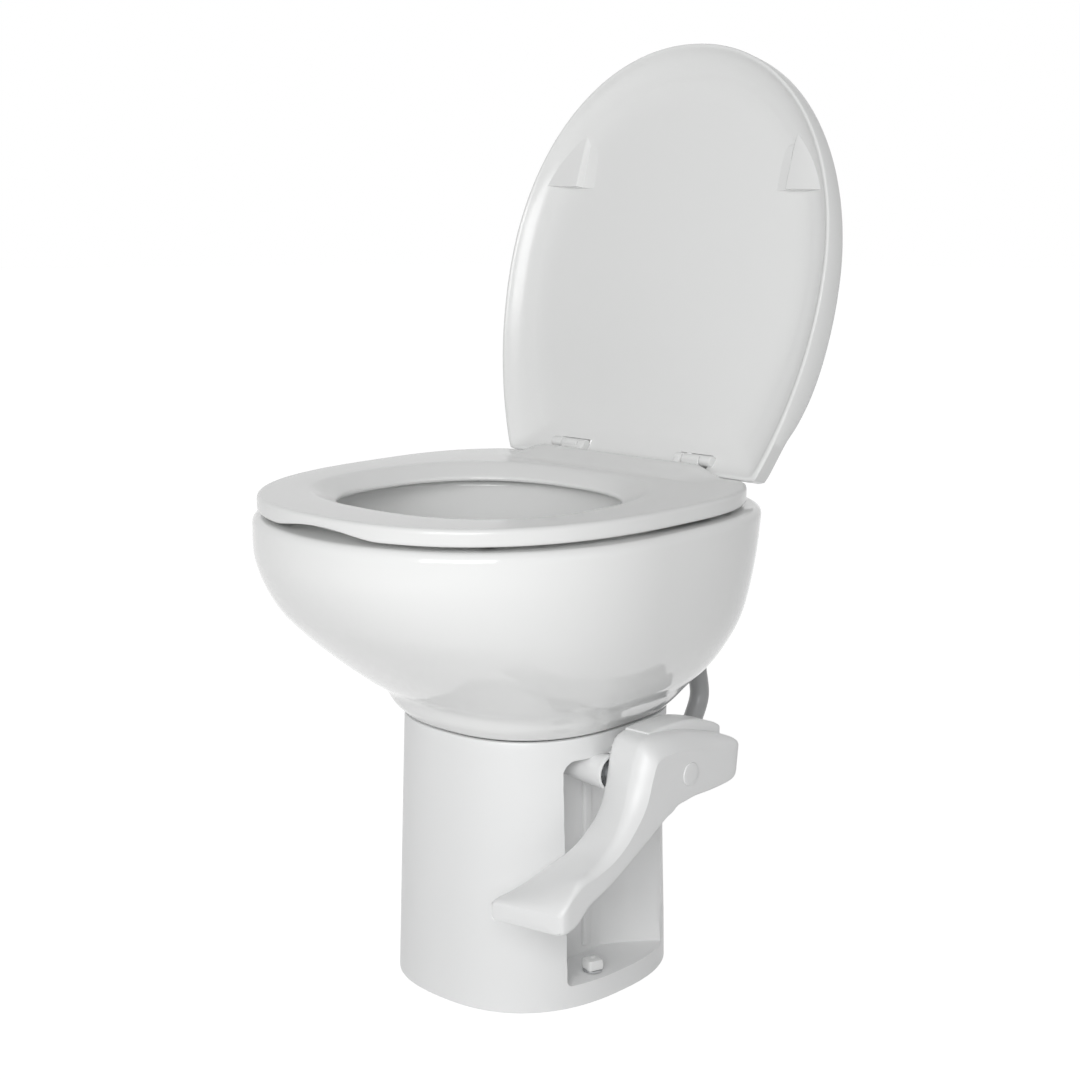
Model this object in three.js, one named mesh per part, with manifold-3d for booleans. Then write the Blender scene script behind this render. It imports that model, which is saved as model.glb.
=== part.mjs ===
// RV toilet with a ceramic bowl, a side foot pedal and a ball valve
// Millimetres, +Z up, front at -Y, pedal side at +X, lid stored open as photographed
import * as THREE from 'three';
import { mergeVertices } from 'three/addons/utils/BufferGeometryUtils.js';
import Module from 'manifold-3d';

const wasm = await Module();
wasm.setup();

// General fits
const GAP = 0.3;
const OVERRUN = 20;
const FULL_TURN = 2 * Math.PI;

// Seat: top height sets the scale of the whole part
const SEAT = {
  top: 457, thickness: 14.5, halfWidth: 190.7, frontY: -382, widestY: -157, rearY: -9.3,
  rearHalfWidth: 147.6, edgeRound: 4,
  holeHalfWidth: 145, holeFrontY: -333, holeRearY: -57, holeWidestY: -205,
  bevelRun: 24, bevelDrop: 11.5, notchHalfWidth: 60, notchHeight: 6,
  ridgeHalfWidth: 125, ridgeHeight: 10, ridgeRun: 44, ridgeSetBack: 1,
};
const SEAT_POWER_SHARES = { front: 2.4, rear: 3.32 };
// Raised rear edge: share of the run from its back against share of the height, and across the seat
const RIDGE_PROFILE_SHARES = [
  [1, -0.12], [0.8, 0.14], [0.6, 0.4], [0.4, 0.68], [0.24, 0.9], [0.14, 0.98], [0.06, 0.98],
  [0.01, 0.86], [0, -0.12],
];
const RIDGE_END_SHARES = [[-1, 0.02], [-0.9, 0.5], [-0.76, 0.95], [-0.5, 1], [0.5, 1], [0.76, 0.95],
  [0.9, 0.5], [1, 0.02]];

// Seat bumpers stand between the seat and the bowl's rim
const BUMPER = { radius: 5.5, x: 169, frontX: 124, rearY: -96, frontY: -312 };

// Lid, given as it lies closed on the seat, with its outline set off from the seat's
const LID_OVER_SEAT = { side: 0.8, rearSide: 3.4, rear: 29, widest: 3.9, rise: 3.9 };
const LID = {
  rimZ: SEAT.top + LID_OVER_SEAT.rise, halfWidth: SEAT.halfWidth + LID_OVER_SEAT.side,
  frontY: SEAT.frontY, widestY: SEAT.widestY - LID_OVER_SEAT.widest,
  rearY: SEAT.rearY + LID_OVER_SEAT.rear,
  rearHalfWidth: SEAT.rearHalfWidth + LID_OVER_SEAT.rearSide,
  skirt: 21, crown: 5, edgeRound: 8, lip: 5, bandRun: 22, bandDepth: 9, dishDepth: 18,
  wedgeInset: 64.5, wedgeOuterInset: 19.5, wedgeRearY: -247, wedgeFrontY: -315, wedgeDepth: 8,
  wedgeTipDepth: 14,
};
const LID_POWER_SHARES = { front: 2.09, rear: 2.07 };
const LID_OPEN_ANGLE = THREE.MathUtils.degToRad(103.7);

// Hinge of seat and lid
const HINGE = {
  y: 6, z: 467, barrelRadius: 5, pinRadius: 2.5, centreX: 75, postWidth: 20, lugWidth: 8,
  slotHeight: 16, slotRoom: 1, lugRoot: 4, footTopZ: 459, postFrontY: -3, postRearY: 11, boltRadius: 3.9,
  boltLength: 44, boltRise: 12, anchorRadius: 7.2, anchorFlange: 11, anchorFlangeThick: 3,
  anchorLength: 26,
};

// Bowl: rim, foot, walls and basin
const BOWL = {
  rimZ: 438.5, footZ: 248, rimHalfWidth: 201.8, rimFrontY: -390, rimRearY: 39, rimCentreY: -182.6,
  footHalfWidth: 106.1, footFrontY: -243.9, footRearY: -18.5, footCentreY: -128.6,
  wall: 9, rimThickness: 19, rimRound: 8,
  basinHalfWidth: 152, basinFrontY: -348, basinRearY: -60, basinCentreY: -204,
  basinFloorZ: 268, basinWall: 9,
};
const BOWL_POWER_SHARES = { frontFoot: 2.44, frontRim: 2.1, rear: 3.19, basin: 2.15 };
// Share of the way from foot to rim, against the share of the height
const BOWL_HEIGHT_SHARES = [0, 0.05, 0.12, 0.2, 0.3, 0.45, 0.6, 0.8, 1];
const BOWL_FRONT_SHARES = [0, 0.06, 0.11, 0.255, 0.43, 0.67, 0.865, 0.995, 1];
const BOWL_REAR_SHARES = [0, 0.145, 0.34, 0.54, 0.7, 0.845, 0.885, 0.935, 1];
// Share of the way from throat to basin mouth, against the share of the basin's height
const BASIN_HEIGHT_SHARES = [0, 0.06, 0.15, 0.3, 0.5, 0.7, 0.88, 1];
const BASIN_SPREAD_SHARES = [0, 0.22, 0.41, 0.62, 0.81, 0.94, 1, 1];

// Throat, ball valve and its housing, round one upright axis
const VALVE = {
  y: -158, shaftZ: 215, ballRadius: 46, ballWall: 4, ballCutRise: 8, earInner: 37, earOuter: 43,
  earDrop: 12, throatRadius: 36, throatWall: 10, flangeRadius: 58, flangeZ: 252, flangeThick: 7,
  housingRadius: 49, housingWall: 4, housingTopZ: 244, housingFlange: 60, housingFlangeThick: 6.7,
  tubeRadius: 38, tubeWall: 4, tubeBottomZ: 6,
};

// Clamp ring halves that hold the bowl's outlet flange down on the deck
const CLAMP = {
  innerRadius: 60.6, outerRadius: 67, lipRadius: 48, lipThick: 5, split: 2,
  earRadius: 74, earWidth: 22, earThick: 8, screwRadius: 2.5, screwHead: 5, screwHeadThick: 3,
  screwLength: 19,
};

// Pedestal shell
const PEDESTAL = {
  topZ: 246, deckZ: 237, deckThick: 8, wall: 5,
  baseHalfWidth: 112, baseFrontY: -253, baseRearY: -7, baseCentreY: -129,
  ledgeZ: 22, ledgeThick: 5, footLip: 12, footLipThick: 5,
  pocketX: 64.6, pocketFrontY: -191, pocketKinkY: -108.5, pocketMidX: 77.5, pocketMidY: -87,
  pocketEndX: 99.3, pocketEndY: -60.3, pocketTopZ: 228, pocketCorner: 14,
};
const PEDESTAL_POWER_SHARES = { base: 2.41 };
// Share of the way from base to seam at the rear, against the share of the height
const PEDESTAL_HEIGHT_SHARES = [0, 0.12, 0.6, 1];
const PEDESTAL_REAR_SHARES = [0, 0.25, 1.22, 1];

// Gasket between bowl and pedestal, set back from the skin
const GASKET = { inset: 1.5, width: 7 };

// Floor seal, bolts, washers, nuts and caps
const FLOOR = {
  sealOuter: 60, sealHeight: 12, boltX: 95, boltY: -152, boltRadius: 3, boltBottomZ: 2,
  boltTopZ: 31, holeRadius: 4, washerRadius: 9, washerThick: 1.6, nutAcross: 10, nutHeight: 5,
  capWidth: 15.5, capHeight: 9.5, capWall: 1.5, capBore: 2.6,
};
const CAP_TURN = THREE.MathUtils.degToRad(-17);

// Pedal, its pivot and its gears
const PEDAL = {
  innerX: 122, outerX: 174, treadInnerX: 103.5, rearY: -41, length: 259, bottomZ: 115, height: 146,
  pivotY: -114, pivotZ: 215, axleRadius: 7, axleStartX: 66, axleEndX: 164, collarRadius: 12,
  ribThick: 8, capRadius: 10.4, capProud: 1, capThick: 3, gearX: 108, gearWidth: 10, bossRadius: 14,
  coverInnerX: 124, coverOuterX: 152, coverRise: 9.5, coverDepth: 8,
  edgeRound: 3, ridgeRound: 16, treadRound: 5,
};
const GEAR = { module: 2, backlash: 0.45 };
const PINION_TEETH = 11;
const SECTOR_TEETH = 33;
const SECTOR_FIRST_TOOTH = -1;
const SECTOR_LAST_TOOTH = 4;
const PRESSURE_ANGLE = THREE.MathUtils.degToRad(20);
const ADDENDUM_SHARE = 0.9;
const DEDENDUM_SHARE = 1.25;

// Spring cartridge in the pocket, round the ball's shaft
const CARTRIDGE = {
  endX: 121.2, rootRadius: 8.5, endRadius: 16, rootDropZ: 2.5, rootShiftY: -1.5,
  cupX: 107.2, cupBore: 13.4, boreRadius: 9.2, boreX: 94, sectorRoom: 36,
  springOuter: 8.9, springInner: 6.7, springStart: 94.6, springEnd: 103.4, lidThick: 3,
};
const SHAFT = { radius: 6, innerEndX: 36.5, outerEndX: 121.7, clearance: 0.4, stubEndX: 58 };

// Water valve, hose and nozzle at the back
const WATER = {
  valveX: 58, valveWidth: 34, valveDepth: 60, valveZ: 150, valveHeight: 34,
  portY: 28, portHeight: 6, inletRadius: 10, inletLength: 22, inletBore: 6,
  hoseRadius: 9.3, hoseBore: 5.8, hoseSteps: 24, hoseSides: 10,
  nozzleBore: 4, nozzleZ: 304, nozzleX: 50, nozzleOutY: 34, nozzleInY: -100, bendY: 50,
  clampWidth: 7, clampThick: 1.6, plateThick: 4, plateDrop: 12,
  screwRadius: 2, screwHead: 4, screwHeadThick: 2.5, screwLength: 9,
};
const PORT_RADIUS = WATER.hoseBore - GAP;
const VALVE_TOP_Z = WATER.valveZ + WATER.valveHeight;
// The hose's route from the valve's port up to the nozzle: share of the way across, share of
// the way back to the bend, share of the rise; then two shares along the nozzle
const HOSE_SHARES = [
  [0, 0, 0], [0, 0, 0.05], [0, 0, 0.1], [0.04, 0.16, 0.165], [0.08, 0.42, 0.24],
  [0.12, 0.66, 0.315], [0.16, 0.79, 0.39], [0.22, 0.78, 0.47], [0.4, 0.7, 0.6], [0.65, 0.76, 0.74],
  [0.9, 0.92, 0.86], [1, 0.86, 0.955], [1, 0.55, 1],
];
const HOSE_START_Z = VALVE_TOP_Z + GAP;
const HOSE_END_Y = WATER.nozzleOutY - 2 * WATER.clampWidth / 3 - GAP;
const HOSE_ROUTE = HOSE_SHARES.map(([across, back, rise]) => [
  WATER.valveX + (WATER.nozzleX - WATER.valveX) * across,
  WATER.portY + (WATER.bendY - WATER.portY) * back,
  HOSE_START_Z + (WATER.nozzleZ - HOSE_START_Z) * rise,
]);
HOSE_ROUTE.push([WATER.nozzleX, WATER.nozzleOutY, WATER.nozzleZ]);
HOSE_ROUTE.push([WATER.nozzleX, HOSE_END_Y, WATER.nozzleZ]);

// How finely round things are cut
const FACETS = {
  bowl: 36, basin: 28, pedestal: 36, egg: 40, hole: 36, big: 24, ring: 16, small: 10,
  bowlLevels: 8, hollowLevels: 4, basinLevels: 7, basinShellLevels: 4, cupSteps: 4,
};

// Materials
const material = (color, roughness, metalness = 0) =>
  new THREE.MeshStandardMaterial({ color, roughness, metalness });
const GLAZE = 0xf1f2f1;
const GLOSS_WHITE = 0xeeefee;
const SATIN_WHITE = 0xe9eae9;
const RUBBER = 0x2b2c2e;
const STEEL = 0xb9bcc0;
const GREY_PLASTIC = 0x9a9da0;
const finishes = {
  ceramic: () => material(GLAZE, 0.12),
  gloss: () => material(GLOSS_WHITE, 0.22),
  satin: () => material(SATIN_WHITE, 0.42),
  rubber: () => material(RUBBER, 0.8),
  steel: () => material(STEEL, 0.3, 1),
  grey: () => material(GREY_PLASTIC, 0.5),
};

// Solid helpers
function signedVolume(position, index) {
  let total = 0;
  const a = new THREE.Vector3();
  const b = new THREE.Vector3();
  const c = new THREE.Vector3();
  for (let i = 0; i < index.length; i += 3) {
    a.fromArray(position, index[i] * 3);
    b.fromArray(position, index[i + 1] * 3);
    c.fromArray(position, index[i + 2] * 3);
    total += a.dot(b.cross(c));
  }
  return total;
}

function solid(geometry) {
  const bare = geometry.clone();
  for (const name of Object.keys(bare.attributes)) {
    if (name !== 'position') bare.deleteAttribute(name);
  }
  const merged = mergeVertices(bare);
  const position = merged.attributes.position.array;
  const index = [];
  const source = merged.index.array;
  for (let i = 0; i < source.length; i += 3) {
    const [p, q, r] = [source[i], source[i + 1], source[i + 2]];
    if (p !== q && q !== r && r !== p) index.push(p, q, r);
  }
  if (signedVolume(position, index) < 0) {
    for (let i = 0; i < index.length; i += 3) {
      [index[i + 1], index[i + 2]] = [index[i + 2], index[i + 1]];
    }
  }
  const vertProperties = new Float32Array(position);
  const triVerts = new Uint32Array(index);
  return new wasm.Manifold(new wasm.Mesh({ numProp: 3, vertProperties, triVerts }));
}

const join = (first, ...rest) => rest.reduce((sum, next) => sum.add(next), first);
const cut = (first, ...rest) => rest.reduce((sum, next) => sum.subtract(next), first);

function geometryOf(body) {
  const data = body.getMesh();
  const geometry = new THREE.BufferGeometry();
  const position = new THREE.BufferAttribute(new Float32Array(data.vertProperties), 3);
  geometry.setAttribute('position', position);
  geometry.setIndex(new THREE.BufferAttribute(new Uint32Array(data.triVerts), 1));
  geometry.computeVertexNormals();
  return geometry;
}

const placed = new THREE.Group();

function piece(name, body, finish) {
  const mesh = new THREE.Mesh(geometryOf(body), finishes[finish]());
  mesh.name = name;
  placed.add(mesh);
  return mesh;
}

function block(x, y, z) {
  const geometry = new THREE.BoxGeometry(x[1] - x[0], y[1] - y[0], z[1] - z[0]);
  geometry.translate((x[0] + x[1]) / 2, (y[0] + y[1]) / 2, (z[0] + z[1]) / 2);
  return solid(geometry);
}

// Round bar along Z from low to high, or along X or Y with the same order of centres
function bar(axis, radius, low, high, centre, sides = FACETS.ring) {
  const geometry = new THREE.CylinderGeometry(radius, radius, high - low, sides);
  geometry.translate(0, (low + high) / 2, 0);
  if (axis === 'z') geometry.rotateX(Math.PI / 2).translate(centre[0], centre[1], 0);
  if (axis === 'x') geometry.rotateZ(-Math.PI / 2).translate(0, centre[0], centre[1]);
  if (axis === 'y') geometry.translate(centre[0], 0, centre[1]);
  return solid(geometry);
}

// Turned piece round an upright axis: pairs of radius and height
function turned(profile, centre, sides = FACETS.big) {
  const points = profile.map(([radius, height]) => new THREE.Vector2(radius, height));
  const first = points[0];
  if (first.x > 0) points.push(first.clone());
  const geometry = new THREE.LatheGeometry(points, sides);
  geometry.rotateX(Math.PI / 2).translate(centre[0], centre[1], 0);
  return solid(geometry);
}

// Skin through rings of equal point counts, closed by a flat fan at each end
function loft(rings) {
  const count = rings[0].length;
  const position = rings.flat(2);
  const index = [];
  for (let level = 0; level + 1 < rings.length; level += 1) {
    for (let i = 0; i < count; i += 1) {
      const a = level * count + i;
      const b = level * count + ((i + 1) % count);
      index.push(a, b, b + count, a, b + count, a + count);
    }
  }
  const closeEnd = (ring, offset, flip) => {
    const centre = [0, 1, 2].map((k) => ring.reduce((sum, p) => sum + p[k], 0) / count);
    const centreIndex = position.length / 3;
    position.push(...centre);
    for (let i = 0; i < count; i += 1) {
      const a = offset + i;
      const b = offset + ((i + 1) % count);
      index.push(...(flip ? [b, a, centreIndex] : [a, b, centreIndex]));
    }
  };
  closeEnd(rings[0], 0, true);
  closeEnd(rings.at(-1), (rings.length - 1) * count, false);
  const geometry = new THREE.BufferGeometry();
  geometry.setAttribute('position', new THREE.Float32BufferAttribute(position, 3));
  geometry.setIndex(index);
  return solid(geometry);
}

// Outlines
const signedPower = (value, power) => Math.sign(value) * Math.abs(value) ** power;

// Oval with its own front and rear powers, at one height
function oval(s, z, sides = FACETS.bowl) {
  const ring = [];
  for (let i = 0; i < sides; i += 1) {
    const angle = (FULL_TURN * i) / sides;
    const across = Math.sin(angle);
    const along = -Math.cos(angle);
    const power = along < 0 ? s.frontPower : s.rearPower;
    const reach = along < 0 ? s.centreY - s.frontY : s.rearY - s.centreY;
    ring.push([
      s.halfWidth * signedPower(across, 2 / power),
      s.centreY + reach * signedPower(along, 2 / power),
      z,
    ]);
  }
  return ring;
}

// Egg-shaped outline of seat and lid with a straight rear edge, moved inward by inset
function egg(s, powers, inset, z, sides = FACETS.egg) {
  const quarter = sides / 4;
  const rearSteps = quarter - 2;
  const frontY = s.frontY + inset;
  const rearY = s.rearY - inset;
  const halfWidth = s.halfWidth - inset;
  const rearHalfWidth = s.rearHalfWidth - inset;
  const right = [];
  for (let i = 0; i < quarter; i += 1) {
    const angle = (Math.PI / 2) * (i / quarter);
    const along = Math.cos(angle) ** (2 / powers.front);
    const across = Math.sin(angle) ** (2 / powers.front);
    right.push([halfWidth * across, s.widestY - (s.widestY - frontY) * along]);
  }
  for (let i = 0; i <= rearSteps; i += 1) {
    const share = i / rearSteps;
    const narrow = (halfWidth - rearHalfWidth) * share ** powers.rear;
    right.push([halfWidth - narrow, s.widestY + (rearY - s.widestY) * share]);
  }
  const left = right.slice(1).reverse().map(([x, y]) => [-x, y]);
  return [...right, [0, rearY], ...left].map(([x, y]) => [x, y, z]);
}

// Smooth curve through a table of shares
function shareAt(stops, values, share) {
  let i = 0;
  while (i < stops.length - 2 && share > stops[i + 1]) i += 1;
  const slope = (j) => {
    const low = Math.max(j - 1, 0);
    const high = Math.min(j + 1, stops.length - 1);
    return (values[high] - values[low]) / (stops[high] - stops[low]);
  };
  const width = stops[i + 1] - stops[i];
  const t = (share - stops[i]) / width;
  const rise = values[i + 1] - values[i];
  const a = slope(i) * width - rise;
  const b = rise - slope(i + 1) * width;
  return values[i] + rise * t + t * (1 - t) * (a * (1 - t) + b * t);
}

const between = (low, high, share) => low + (high - low) * share;

// Bowl: skirted shell with a basin inside it, open below and at the throat
function bowlSection(share, inset) {
  const front = shareAt(BOWL_HEIGHT_SHARES, BOWL_FRONT_SHARES, share);
  const rear = shareAt(BOWL_HEIGHT_SHARES, BOWL_REAR_SHARES, share);
  const side = (front + rear) / 2;
  return {
    halfWidth: between(BOWL.footHalfWidth, BOWL.rimHalfWidth, side) - inset,
    frontY: between(BOWL.footFrontY, BOWL.rimFrontY, front) + inset,
    rearY: between(BOWL.footRearY, BOWL.rimRearY, rear) - inset,
    centreY: between(BOWL.footCentreY, BOWL.rimCentreY, side),
    frontPower: between(BOWL_POWER_SHARES.frontFoot, BOWL_POWER_SHARES.frontRim, side),
    rearPower: BOWL_POWER_SHARES.rear,
  };
}

function bowlSkin(inset, topZ, levels, rounded) {
  const height = BOWL.rimZ - BOWL.footZ;
  const rings = [];
  const top = (topZ - BOWL.footZ) / height;
  const last = rounded ? top - BOWL.rimRound / height : top;
  for (let i = 0; i <= levels; i += 1) {
    const share = last * (i / levels) ** 1.25;
    rings.push(oval(bowlSection(share, inset), BOWL.footZ + height * share));
  }
  if (rounded) {
    for (const turn of [0.4, 0.75, 1]) {
      const angle = (Math.PI / 2) * turn;
      const z = topZ - BOWL.rimRound * (1 - Math.sin(angle));
      const drawIn = BOWL.rimRound * (1 - Math.cos(angle));
      rings.push(oval(bowlSection((z - BOWL.footZ) / height, inset + drawIn), z));
    }
  }
  return rings;
}

function basinSection(share, grow) {
  const spread = shareAt(BASIN_HEIGHT_SHARES, BASIN_SPREAD_SHARES, share);
  const r = VALVE.throatRadius;
  return {
    halfWidth: between(r, BOWL.basinHalfWidth, spread) + grow,
    frontY: between(VALVE.y - r, BOWL.basinFrontY, spread) - grow,
    rearY: between(VALVE.y + r, BOWL.basinRearY, spread) + grow,
    centreY: between(VALVE.y, BOWL.basinCentreY, spread),
    frontPower: between(2, BOWL_POWER_SHARES.basin, spread),
    rearPower: between(2, BOWL_POWER_SHARES.basin, spread),
  };
}

function basinSkin(grow, topZ, levels) {
  const rings = [];
  for (let i = 0; i <= levels; i += 1) {
    const share = i / levels;
    const z = between(BOWL.basinFloorZ, topZ, share);
    rings.push(oval(basinSection(share, grow), z, FACETS.basin));
  }
  return rings;
}

function makeBowl() {
  const outer = loft(bowlSkin(0, BOWL.rimZ, FACETS.bowlLevels, true));
  const hollowTop = BOWL.rimZ - BOWL.rimThickness;
  const hollowRings = bowlSkin(BOWL.wall, hollowTop, FACETS.hollowLevels, false);
  hollowRings[0] = hollowRings[0].map(([x, y, z]) => [x, y, z - OVERRUN]);
  const hollow = loft(hollowRings);
  const shellTop = BOWL.rimZ - BOWL.rimRound;
  const basinShell = loft(basinSkin(BOWL.basinWall, shellTop, FACETS.basinShellLevels));
  const outlet = turned([
    [0, VALVE.flangeZ],
    [VALVE.flangeRadius, VALVE.flangeZ],
    [VALVE.flangeRadius, VALVE.flangeZ + VALVE.flangeThick],
    [VALVE.throatRadius + VALVE.throatWall, VALVE.flangeZ + VALVE.flangeThick],
    [VALVE.throatRadius + VALVE.throatWall, BOWL.basinFloorZ + BOWL.basinWall],
    [0, BOWL.basinFloorZ + BOWL.basinWall],
  ], [0, VALVE.y]);
  const space = loft(basinSkin(0, BOWL.rimZ, FACETS.basinLevels));
  const throat = bar('z', VALVE.throatRadius, VALVE.flangeZ - OVERRUN,
    BOWL.basinFloorZ + GAP, [0, VALVE.y], FACETS.basin);
  let body = join(cut(outer, hollow), basinShell, outlet);
  const mouth = oval(basinSection(1, 0), BOWL.rimZ - GAP, FACETS.basin);
  const mouthTop = mouth.map(([x, y]) => [x, y, BOWL.rimZ + OVERRUN]);
  body = cut(body, space, throat, loft([mouth, mouthTop]));
  for (const side of [-1, 1]) {
    body = cut(body, bar('z', HINGE.anchorRadius + GAP, hollowTop - OVERRUN,
      BOWL.rimZ + OVERRUN, [side * HINGE.centreX, hingeBoltY]));
  }
  return cut(body, bar('y', PORT_RADIUS + GAP, WATER.nozzleInY, WATER.nozzleOutY,
    [WATER.nozzleX, WATER.nozzleZ]));
}

const hingeBoltY = (HINGE.postFrontY + HINGE.postRearY) / 2;

// Pedestal shell with a deck, two side pockets and a foot lip
function pedestalSection(share, inset) {
  const rear = shareAt(PEDESTAL_HEIGHT_SHARES, PEDESTAL_REAR_SHARES, share);
  return {
    halfWidth: between(PEDESTAL.baseHalfWidth, BOWL.footHalfWidth, share) - inset,
    frontY: between(PEDESTAL.baseFrontY, BOWL.footFrontY, share) + inset,
    rearY: between(PEDESTAL.baseRearY, BOWL.footRearY, rear) - inset,
    centreY: between(PEDESTAL.baseCentreY, BOWL.footCentreY, share),
    frontPower: between(PEDESTAL_POWER_SHARES.base, BOWL_POWER_SHARES.frontFoot, share),
    rearPower: between(PEDESTAL_POWER_SHARES.base, BOWL_POWER_SHARES.rear, share),
  };
}

function pedestalSkin(inset, lowZ, highZ) {
  const stops = PEDESTAL_HEIGHT_SHARES.map((share) => share * PEDESTAL.topZ);
  const heights = [lowZ, ...stops.filter((z) => z > lowZ + GAP && z < highZ - GAP), highZ];
  return heights.map((z) => {
    const share = Math.min(Math.max(z / PEDESTAL.topZ, 0), 1);
    return oval(pedestalSection(share, inset), z, FACETS.pedestal);
  });
}

// Upright prism of a pocket on one side, grown outward by its wall where wanted
function pocketPrism(side, grow, lowZ, highZ) {
  const p = PEDESTAL;
  const far = p.baseHalfWidth + OVERRUN;
  const lean = grow * Math.SQRT1_2;
  const plan = new THREE.Shape();
  plan.moveTo(far, p.pocketFrontY - grow);
  plan.lineTo(p.pocketX + p.pocketCorner / 2, p.pocketFrontY - grow);
  plan.quadraticCurveTo(p.pocketX - grow, p.pocketFrontY - grow,
    p.pocketX - grow, p.pocketFrontY + p.pocketCorner / 2);
  plan.lineTo(p.pocketX - grow, p.pocketKinkY);
  plan.lineTo(p.pocketMidX - lean, p.pocketMidY + lean);
  plan.lineTo(p.pocketEndX - lean, p.pocketEndY + lean);
  plan.lineTo(far, p.pocketEndY + lean + (far - p.pocketEndX));
  plan.closePath();
  const geometry = new THREE.ExtrudeGeometry(plan, {
    depth: highZ - lowZ, bevelEnabled: false, curveSegments: 6,
  });
  geometry.translate(0, 0, lowZ);
  if (side < 0) geometry.scale(-1, 1, 1);
  return solid(geometry);
}

function makePedestal() {
  const p = PEDESTAL;
  const outer = loft(pedestalSkin(0, 0, p.topZ));
  let inside = loft(pedestalSkin(p.wall, p.footLipThick, p.deckZ - p.deckThick));
  const footHole = loft(pedestalSkin(p.footLip, -OVERRUN, p.footLipThick + GAP));
  const top = loft(pedestalSkin(p.wall, p.deckZ, p.topZ + OVERRUN));
  let body = outer;
  for (const side of [-1, 1]) {
    const liner = pocketPrism(side, p.wall, p.ledgeZ - p.ledgeThick, p.pocketTopZ + p.wall);
    inside = cut(inside, liner);
  }
  body = cut(body, inside, footHole, top);
  for (const side of [-1, 1]) {
    body = cut(body, pocketPrism(side, 0, p.ledgeZ, p.pocketTopZ));
  }
  const collarEnd = PEDAL.gearX - 2 * GAP;
  const halfRib = PEDAL.ribThick / 2;
  const collar = bar('x', PEDAL.collarRadius, p.pocketX - GAP, collarEnd,
    [PEDAL.pivotY, PEDAL.pivotZ], FACETS.big);
  const rib = block([p.pocketX - GAP, BOWL.footHalfWidth - p.wall],
    [PEDAL.pivotY - halfRib, PEDAL.pivotY + halfRib], [PEDAL.pivotZ, p.pocketTopZ + GAP]);
  body = join(body, collar, rib);
  body = cut(body, bar('z', VALVE.housingRadius + VALVE.housingWall + 2 * GAP,
    p.deckZ - p.deckThick - OVERRUN, p.topZ + OVERRUN, [0, VALVE.y], FACETS.big));
  const shaftHole = SHAFT.radius + SHAFT.clearance;
  body = cut(body,
    bar('x', shaftHole, 0, p.pocketX + OVERRUN, [VALVE.y, VALVE.shaftZ]),
    bar('x', PEDAL.axleRadius + GAP, PEDAL.axleStartX - GAP, PEDAL.outerX,
      [PEDAL.pivotY, PEDAL.pivotZ]));
  for (const side of [-1, 1]) {
    body = cut(body, bar('z', FLOOR.holeRadius, -OVERRUN, p.ledgeZ + OVERRUN,
      [side * FLOOR.boltX, FLOOR.boltY], FACETS.small));
  }
  for (const [x, y] of clampScrewPlaces()) {
    body = cut(body, bar('z', CLAMP.screwRadius + GAP, p.deckZ - p.deckThick - OVERRUN,
      p.deckZ + OVERRUN, [x, y], FACETS.small));
  }
  for (const place of valveScrewPlaces()) {
    body = cut(body, bar('y', WATER.screwRadius + GAP, -2 * OVERRUN, OVERRUN, place, FACETS.small));
  }
  return body;
}

// Bowl clamp in two halves, split along X, with two ears each
function clampScrewPlaces() {
  const places = [];
  for (const end of [-1, 1]) {
    for (const side of [-1, 1]) {
      places.push([side * CLAMP.earRadius, VALVE.y + (end * CLAMP.earWidth) / 2]);
    }
  }
  return places;
}

function makeClamp(end) {
  const low = PEDESTAL.deckZ + GAP;
  const lipZ = VALVE.flangeZ + VALVE.flangeThick + GAP;
  const ring = turned([
    [CLAMP.innerRadius, low],
    [CLAMP.outerRadius, low],
    [CLAMP.outerRadius, lipZ + CLAMP.lipThick],
    [CLAMP.lipRadius, lipZ + CLAMP.lipThick],
    [CLAMP.lipRadius, lipZ],
    [CLAMP.innerRadius, lipZ],
  ], [0, VALVE.y]);
  const reach = CLAMP.earRadius + CLAMP.screwHead;
  const near = [CLAMP.split / 2, CLAMP.earWidth];
  const span = near.map((v) => VALVE.y + end * v).sort((a, b) => a - b);
  const ears = [-1, 1].map((side) => block(
    [side * CLAMP.innerRadius, side * reach].sort((a, b) => a - b),
    span, [low, low + CLAMP.earThick]));
  const keepY = [VALVE.y + (end * CLAMP.split) / 2, VALVE.y + end * 2 * CLAMP.outerRadius];
  const keep = block([-reach * 2, reach * 2], keepY.sort((a, b) => a - b), [0, BOWL.rimZ]);
  let body = join(ring, ...ears).intersect(keep);
  for (const [x, y] of clampScrewPlaces()) {
    body = cut(body, bar('z', CLAMP.screwRadius + GAP, 0, BOWL.rimZ, [x, y], FACETS.small));
  }
  return body;
}

function makeScrew(radius, headRadius, headThick, length, sides = 12) {
  const shank = bar('z', radius, 0, length, [0, 0], sides);
  return join(shank, bar('z', headRadius, -headThick, GAP, [0, 0], sides));
}

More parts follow.
